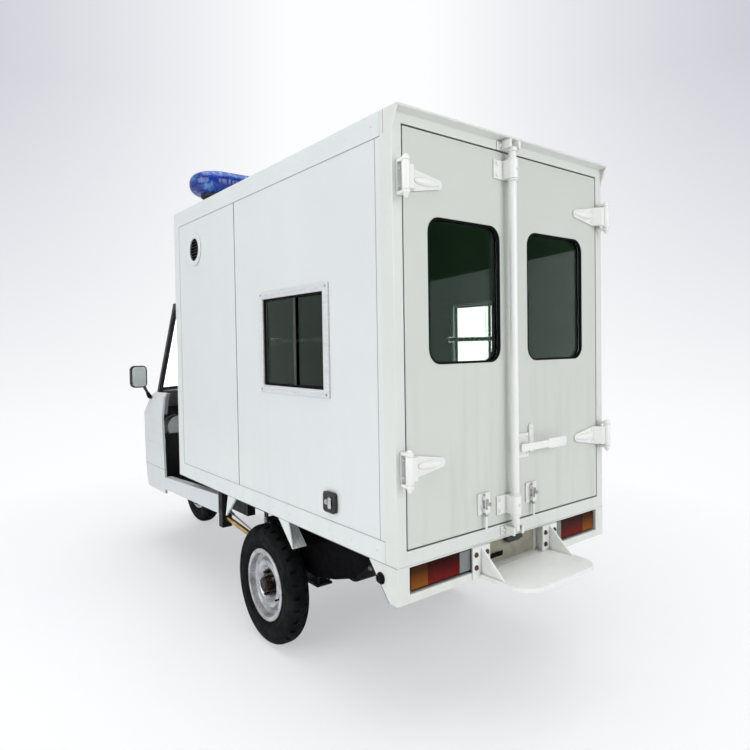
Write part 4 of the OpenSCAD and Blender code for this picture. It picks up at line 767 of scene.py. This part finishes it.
def lamp_fittings(side, k):
    bezel = [(0.001, 0.0), (0.001, 0.0012), (-0.001, 0.002), (-0.0025, 0.001), (-0.0025, -0.01),
             (0.001, -0.01)]
    bm = bmesh.new()
    sweep(bm, round_rect_path(at(10, k * LAMP_Y, LAMP_Z), Y, Z, BACK, 0.3, 0.08, 0.012, 6), bezel)
    piece(side + "_lamp_bezel", bm, "rubber", "vehicle")
    bm = bmesh.new()
    for y in (240, 558):
        dome(bm, at(34, k * y, 601), BACK, 0.005, 0.004)
    piece(side + "_lamp_screws", bm, "bolt", "vehicle")


for side, k in SIDES:
    lamp_fittings(side, k)
bm = bmesh.new()
for k in MIRRORED:
    for y in (178, 238):
        for z in (572, 620):
            hexbolt(bm, at(-8, k * y, z), BACK, 0.0065, 0.007)
piece("step_bolts", bm, "rust", "vehicle")
bm = bmesh.new()
slab(bm, at(31.5, -150, 546), at(33.6, 150, 646), 0.0005)
piece("plate_panel", bm, "beige", "vehicle")
CLIP = ((24, 0, 572), (16, -3, 592), (22, -9, 576), (26, -13, 572))
clip_pitch = 13
bm = bmesh.new()
for i in range(6):
    tube(bm, [at(s, 134 - i * clip_pitch + dy, z) for s, dy, z in CLIP], 0.0032, 8)
piece("plate_clips", bm, "rubber", "vehicle")
bm = bmesh.new()
slab(bm, at(2, -46, 624), at(30, 46, 646), 0.006, 3)
slab(bm, at(8, -34, 618), at(26, 34, 625), 0.003, 2)
piece("plate_lamp", bm, "black_plastic", "vehicle")
plug_s, plug_z = 89, 599
bm = bmesh.new()
for k in MIRRORED:
    drum(bm, at(plug_s, k * 610, plug_z), at(plug_s, k * 624, plug_z), 0.017, 0.014, 24)
    drum(bm, at(plug_s, k * 611, plug_z), at(plug_s, k * 615, plug_z), 0.021, seg=24)
piece("bumper_plugs", bm, "rubber", "vehicle")

# Floor underside: pressed ribs, and bolts along the chassis rails
rib_w, rib_pitch = 46, 150
bm = bmesh.new()
for i in range(12):
    s = 210 + i * rib_pitch
    for y0, y1 in ((-572, -300), (-240, 240), (300, 572)):
        slab(bm, at(s, y0, 646), at(s + rib_w, y1, 653.2), 0.004)
piece("floor_ribs", bm, "sheet", "vehicle")
bm = bmesh.new()
for k in MIRRORED:
    for i in range(9):
        hexbolt(bm, at(170 + i * 180, k * 295, 615), Y * k, 0.009, 0.008)
    for s in (550, 1518):
        for z in (430, 540):
            hexbolt(bm, at(s, k * 306.5, z), Y * k, 0.009, 0.009)
piece("chassis_bolts", bm, "bolt", "vehicle")

# Mudguards: pressed ribs, and bolts of the splash aprons
bm = bmesh.new()
for k in MIRRORED:
    for y in (552, 570, 588):
        drum(bm, at(815, k * y, 649), at(697, k * y, 543), 0.004, seg=8)
piece("mudguard_ribs", bm, "cowl", "vehicle")
bm = bmesh.new()
for k in MIRRORED:
    for s in (420, 560, 700, 850, 1280, 1400, 1510):
        hexbolt(bm, at(s, k * 440, 632), Y * k, 0.009, 0.008)
piece("apron_bolts", bm, "bolt", "vehicle")


# Wheels: hub caps with nut ends, valves, and raised rings on the tyre walls


def wheel_fittings(body, c, out):
    bm = bmesh.new()
    drum(bm, c + out * 0.0458, c + out * 0.052, 0.031, 0.024, 28)
    for p, n, up in circle_path(c, X, Z, out, 0.055, 5):
        drum(bm, p + out * 0.0279, p + out * 0.036, 0.006, 0.005, 16)
    piece(body + "_hub_cap", bm, "hub", body)
    valve, n, up = arc_path(c, X, Z, out, 0.118, [math.radians(200)])[0]
    bm = bmesh.new()
    drum(bm, valve + out * 0.014, valve + out * 0.04, 0.004, seg=12)
    drum(bm, valve + out * 0.038, valve + out * 0.047, 0.005, seg=12)
    piece(body + "_valve", bm, "rubber", body)
    bm = bmesh.new()
    for w in MIRRORED:
        for r, d in ((0.179, 0.0381), (0.218, 0.0519)):
            ring = [(0.003, d - 0.004), (0.0022, d + 0.0004), (-0.0022, d + 0.0004), (-0.003, d - 0.004)]
            sweep(bm, circle_path(c, X, Z, Y * w, r, 96), ring)
    piece(body + "_wall_rings", bm, "tyre", body)


wheel_fittings("rear_left_wheel", at(REAR_S, WHEEL_Y, WHEEL_Z), Y)
wheel_fittings("rear_right_wheel", at(REAR_S, -WHEEL_Y, WHEEL_Z), -Y)
wheel_fittings("front_wheel", at(FRONT_S, 0, WHEEL_Z), Y)

# Brake rods from the hangers to the drums
lever_y, lever_t = 444, 5
bm = bmesh.new()
for k in MIRRORED:
    drum(bm, at(1559, k * 498, 500), at(1120, k * lever_y, 372), 0.004, seg=12)
    drum(bm, at(1559, k * 498, 500), at(1530, k * 494.4, 491.5), 0.0075, seg=12)
    slab(bm, at(1108, k * lever_y - lever_t, 330), at(1128, k * lever_y + lever_t, 384), 0.003)
piece("brake_rods", bm, "bolt", "vehicle")

# Cab: pressed lines, mirror boots and glass, headlamp rings
line_h, line_t = 5, 1.2
bm = bmesh.new()
for k in MIRRORED:
    for z, y in ((760, 551.4), (830, 553.2), (900, 555.0)):
        slab(bm, at(2500, k * y - line_t, z - line_h), at(2760, k * y + line_t, z + line_h), 0.001)
piece("cowl_press_lines", bm, "cowl", "vehicle")
bm = bmesh.new()
for k in MIRRORED:
    drum(bm, at(2710.6, k * 556, 1068), at(2712.4, k * 572, 1102), 0.016, 0.0115, 20)
piece("mirror_boots", bm, "rubber", "vehicle")
glass_proud = 0.0006
bm = bmesh.new()
for k in MIRRORED:
    path = round_rect_path(at(2705.6, k * 626, 1212), Y, Z, BACK, 0.09, 0.134, 0.022, 8)
    bm.faces.new([bm.verts.new(p + up * glass_proud) for p, n, up in path])
piece("mirror_glass", bm, "mirror", "vehicle", smooth=False)
lamp_ring = [(0.003, -0.03), (0.005, -0.004), (0.001, 0.004), (-0.008, 0.003), (-0.01, -0.002),
             (0.0002, -0.03)]
bm = bmesh.new()
for k in MIRRORED:
    sweep(bm, circle_path(at(3093.5, k * 265, 812), Y, Z, X, 0.082, 64), lamp_ring)
piece("headlamp_rings", bm, "steel", "vehicle")

# Handlebar: ribbed grips, levers with their clamps, and dials
bm = bmesh.new()
for k in MIRRORED:
    inner, outer = at(2580.5, k * 156, 1032), at(2538.5, k * 290, 1032)
    d = (outer - inner).normalized()
    for i in range(9):
        p = inner + (outer - inner) * (0.2 + 0.085 * i)
        drum(bm, p, p + d * 0.006, 0.0185, seg=20)
    drum(bm, outer - d * 0.002, outer + d * 0.006, 0.021, seg=24)
piece("grip_ribs", bm, "rubber", "steering")
LEVER = ((2605, 148, 1030), (2622, 175, 1026), (2612, 225, 1022), (2586, 282, 1020))
clamp_y, clamp_w = 148, 12
bm = bmesh.new()
for k in MIRRORED:
    tube(bm, [at(s, k * y, z) for s, y, z in LEVER], 0.0055)
    slab(bm, at(2582, k * clamp_y - clamp_w, 1016), at(2610, k * clamp_y + clamp_w, 1046), 0.004)
for y in (-40, 40):
    drum(bm, at(2813, y, 1026), at(2788, y, 1037), 0.026, seg=28)
piece("levers_and_dials", bm, "black_plastic", "steering")

# Soft pads: each shell is blown up as cloth, held down at its base and along its seams

SEAM_DEPTH = 0.007
CLOTH_FRAMES = 20


def evaluated(o):
    return bpy.data.meshes.new_from_object(o.evaluated_get(bpy.context.evaluated_depsgraph_get()))


def held_points(mesh, lo, hi, axis, seams, voxel):
    """Presses the seams in and gives the points that stay where they are."""
    base, span = lo[axis], hi[axis] - lo[axis]
    pins = []
    for v in mesh.vertices:
        if v.co[axis] - base < 0.3 * voxel:
            pins.append(v.index)
            continue
        near = [abs(v.co[a] - x) for a, x in seams]
        if near and min(near) < voxel * 0.7 and v.co[axis] > base + span * 0.7:
            v.co[axis] -= SEAM_DEPTH
            pins.append(v.index)
    return pins


def blow_up(o, pressure):
    cloth = o.modifiers.new("cloth", "CLOTH")
    cloth.settings.use_pressure = True
    cloth.settings.uniform_pressure_force = pressure
    cloth.settings.vertex_group_mass = "held"
    cloth.settings.effector_weights.gravity = 0
    cloth.settings.tension_stiffness = 20
    cloth.settings.compression_stiffness = 20
    cloth.settings.bending_stiffness = 0.4
    cloth.point_cache.frame_start = 1
    cloth.point_cache.frame_end = CLOTH_FRAMES
    for f in range(1, CLOTH_FRAMES + 1):
        scene.frame_set(f)
    return evaluated(o)


def blown_shell(lo, hi, r, axis, seams, voxel, cap, pressure):
    """Padded block between two corners, held at its low end; no point moves further than cap."""
    bm = bmesh.new()
    slab(bm, lo, hi, r, 4)
    me = bpy.data.meshes.new("shell")
    bm.to_mesh(me)
    bm.free()
    o = bpy.data.objects.new("shell", me)
    scene.collection.objects.link(o)
    remesh = o.modifiers.new("remesh", "REMESH")
    remesh.mode = "VOXEL"
    remesh.voxel_size = voxel
    fine = evaluated(o)
    o.modifiers.clear()
    o.data = fine
    pins = held_points(fine, lo, hi, axis, seams, voxel)
    before = [v.co.copy() for v in fine.vertices]
    o.vertex_groups.new(name="held").add(pins, 1.0, "REPLACE")
    blown = blow_up(o, pressure)
    for v, old in zip(blown.vertices, before):
        d = v.co - old
        if d.length > cap:
            v.co = old + d.normalized() * cap
    bpy.data.objects.remove(o)
    scene.frame_set(1)
    return blown


def pad(name, finish, node, blocks, voxel, cap, pressure):
    """blocks: low corner, high corner, corner radius, axis that is held, seams as (axis, place)."""
    joined = bmesh.new()
    for block in blocks:
        joined.from_mesh(blown_shell(*block, voxel, cap, pressure))
    o = piece(name, joined, finish, "vehicle")
    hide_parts(node)


cushion = (at(2036, -302, 690), at(2412, 302, 766), 0.03, 2, [(1, 0.0), (0, 2.29 - MID)])
backrest = (at(2012, -272, 818), at(2072, 272, 1182), 0.026, 0, [(2, 1.0), (1, 0.14), (1, -0.14)])
pad("driver_seat_pads", "seat", "driver_seat", [cushion, backrest], 0.009, 0.007, 4.0)
bed = (at(126, 48, 855), at(1914, 512, 928), 0.026, 2, [(0, 0.62 - MID), (0, 1.22 - MID)])
pad("stretcher_pad", "vinyl", "mattress", [bed], 0.014, 0.006, 3.0)

# Studio: the view's angles, the floor that sweeps up into a wall, a dark flag for the panes, light boxes

YAW, PITCH, ROLL = math.radians(-37.778), math.radians(1.540), math.radians(0.886)
RIGHT = Vector((math.sin(YAW), -math.cos(YAW), 0))
SWEEP_PROFILE = ((0, 0), (6, 0), (14, 0), (18, 0.35), (21, 1.6), (22.5, 4), (23, 9), (23, 30))


def staged(name, bm, material):
    """Studio object that isn't part of the vehicle."""
    me = bpy.data.meshes.new(name)
    bm.to_mesh(me)
    bm.free()
    for p in me.polygons:
        p.use_smooth = True
    me.materials.append(material)
    o = bpy.data.objects.new(name, me)
    scene.collection.objects.link(o)
    return o


def mix_shader(t, fac, a, b):
    n = t.nodes.new("ShaderNodeMixShader")
    for socket, value in zip(n.inputs, (fac, a, b)):
        t.links.new(value, socket)
    return n.outputs[0]


def emission(t, color, strength=1.0):
    n = t.nodes.new("ShaderNodeEmission")
    put(t, color, n.inputs["Color"])
    n.inputs["Strength"].default_value = strength
    return n.outputs[0]


def sweep_finish():
    """Pale floor near the wheels that turns into an even glow further out, and bright behind glass."""
    m, t, b = new_tree("pale_sweep")
    b.inputs["Roughness"].default_value = 0.75
    b.inputs["Base Color"].default_value = (0.86, 0.865, 0.875, 1)
    ray = t.nodes.new("ShaderNodeLightPath").outputs
    v = coords(t)
    across = math_node(t, "ABSOLUTE", vector_node(t, "DOT_PRODUCT", v, RIGHT))
    outer = ramp(t, across, 0, 1, 3.0, 14.0)
    upper = ramp(t, axes_of(t, v)["Z"], 0.25, 1, 0.0, 12.0)
    shade = mix(t, math_node(t, "MULTIPLY", outer, upper), (0.88, 0.885, 0.895), (0.56, 0.56, 0.62))
    far = ramp(t, vector_node(t, "LENGTH", v), 0.45, 1, 1.4, 3.8)
    seen = mix_shader(t, math_node(t, "MULTIPLY", far, ray["Is Camera Ray"]), b.outputs[0], emission(t, shade))
    through = mix_shader(t, ray["Is Transmission Ray"], seen, emission(t, (1, 1, 1, 1), 3.2))
    t.links.new(through, t.nodes["Material Output"].inputs["Surface"])
    return m


def studio_sweep():
    bm = bmesh.new()
    verts = [bm.verts.new((r, 0, z)) for r, z in SWEEP_PROFILE]
    edges = [bm.edges.new(ends) for ends in zip(verts, verts[1:])]
    bmesh.ops.spin(bm, geom=verts + edges, cent=(0, 0, 0), axis=Z, angle=TAU, steps=96, use_merge=True,
                   use_duplicate=False)
    bmesh.ops.remove_doubles(bm, verts=bm.verts, dist=CLOSING)
    bmesh.ops.recalc_face_normals(bm, faces=bm.faces)
    staged("studio_sweep", bm, sweep_finish())


def flag_finish():
    m, t, b = new_tree("dim_hedge")
    b.inputs["Base Color"].default_value = (0.004, 0.01, 0.006, 1)
    b.inputs["Emission Color"].default_value = (0.5, 0.9, 0.5, 1)
    t.links.new(ramp(t, noise(t, coords(t), 0.6, 5.0), 0.16, 0.42), b.inputs["Emission Strength"])
    return m


def dark_flag():
    """Upright dark sheet behind the vehicle that only the panes and paint reflect."""
    corners = ((-4.5, 2.2), (-14.0, 4.2), (-14.0, 11.0), (-4.5, 11.0))
    bm = bmesh.new()
    bm.faces.new([bm.verts.new((-8 - MID, y, z)) for y, z in corners])
    flag = staged("dark_flag", bm, flag_finish())
    flag.visible_camera = False
    flag.visible_diffuse = False
    flag.visible_shadow = False


def sky_light():
    scene.world = bpy.data.worlds.new("studio")
    scene.world.use_nodes = True
    sky = scene.world.node_tree.nodes["Background"]
    sky.inputs["Color"].default_value = (0.93, 0.95, 1.0, 1)
    sky.inputs["Strength"].default_value = 0.62


def softbox(name, place, target, size, power):
    light = bpy.data.lights.new(name, "AREA")
    light.shape = "RECTANGLE"
    light.size, light.size_y = size
    light.energy = power
    o = bpy.data.objects.new(name, light)
    scene.collection.objects.link(o)
    o.location = place
    o.rotation_euler = (Vector(target) - Vector(place)).to_track_quat("-Z", "Y").to_euler()
    o.visible_camera = False


studio_sweep()
dark_flag()
sky_light()
softbox("top_box", (-0.5, 0.5, 7.5), (0, 0, 1), (7, 7), 260)
softbox("left_box", (-1.0, 7.5, 3.6), (0, 0.6, 1.2), (6, 4), 210)
softbox("rear_box", (-8.0, -1.0, 3.4), (-1.6, 0, 1.3), (5, 4), 185)

# Camera as fitted to the photograph, in its pixels, and the render's settings
PHOTO_SIDE = 750
FOCAL_PIXELS = 604.65
CENTRE_PIXEL = (373.11, 361.63)
SENSOR = 36
CAMERA_AT = (-1.5334 - MID, 1.8895, 1.4016)


def photo_camera():
    ahead = Vector((math.cos(YAW) * math.cos(PITCH), math.sin(YAW) * math.cos(PITCH), -math.sin(PITCH)))
    down = ahead.cross(RIGHT)
    rolled_right = RIGHT * math.cos(ROLL) + down * math.sin(ROLL)
    rolled_down = down * math.cos(ROLL) - RIGHT * math.sin(ROLL)
    cam = bpy.data.cameras.new("photo_view")
    cam.sensor_width = SENSOR
    cam.sensor_fit = "HORIZONTAL"
    cam.lens = FOCAL_PIXELS * SENSOR / PHOTO_SIDE
    cam.shift_x = (PHOTO_SIDE / 2 - CENTRE_PIXEL[0]) / PHOTO_SIDE
    cam.shift_y = (CENTRE_PIXEL[1] - PHOTO_SIDE / 2) / PHOTO_SIDE
    cam.clip_end = 100
    o = bpy.data.objects.new("photo_view", cam)
    scene.collection.objects.link(o)
    turn = Matrix((rolled_right, -rolled_down, -ahead)).transposed().to_4x4()
    o.matrix_world = Matrix.Translation(CAMERA_AT) @ turn
    scene.camera = o


photo_camera()
scene.render.engine = "CYCLES"
scene.render.resolution_x = PHOTO_SIDE
scene.render.resolution_y = PHOTO_SIDE
scene.view_settings.view_transform = "Standard"
scene.view_settings.look = "None"
scene.view_settings.exposure = 0.16
scene.cycles.max_bounces = 10
scene.cycles.transmission_bounces = 10
scene.cycles.transparent_max_bounces = 10

bpy.context.view_layer.update()
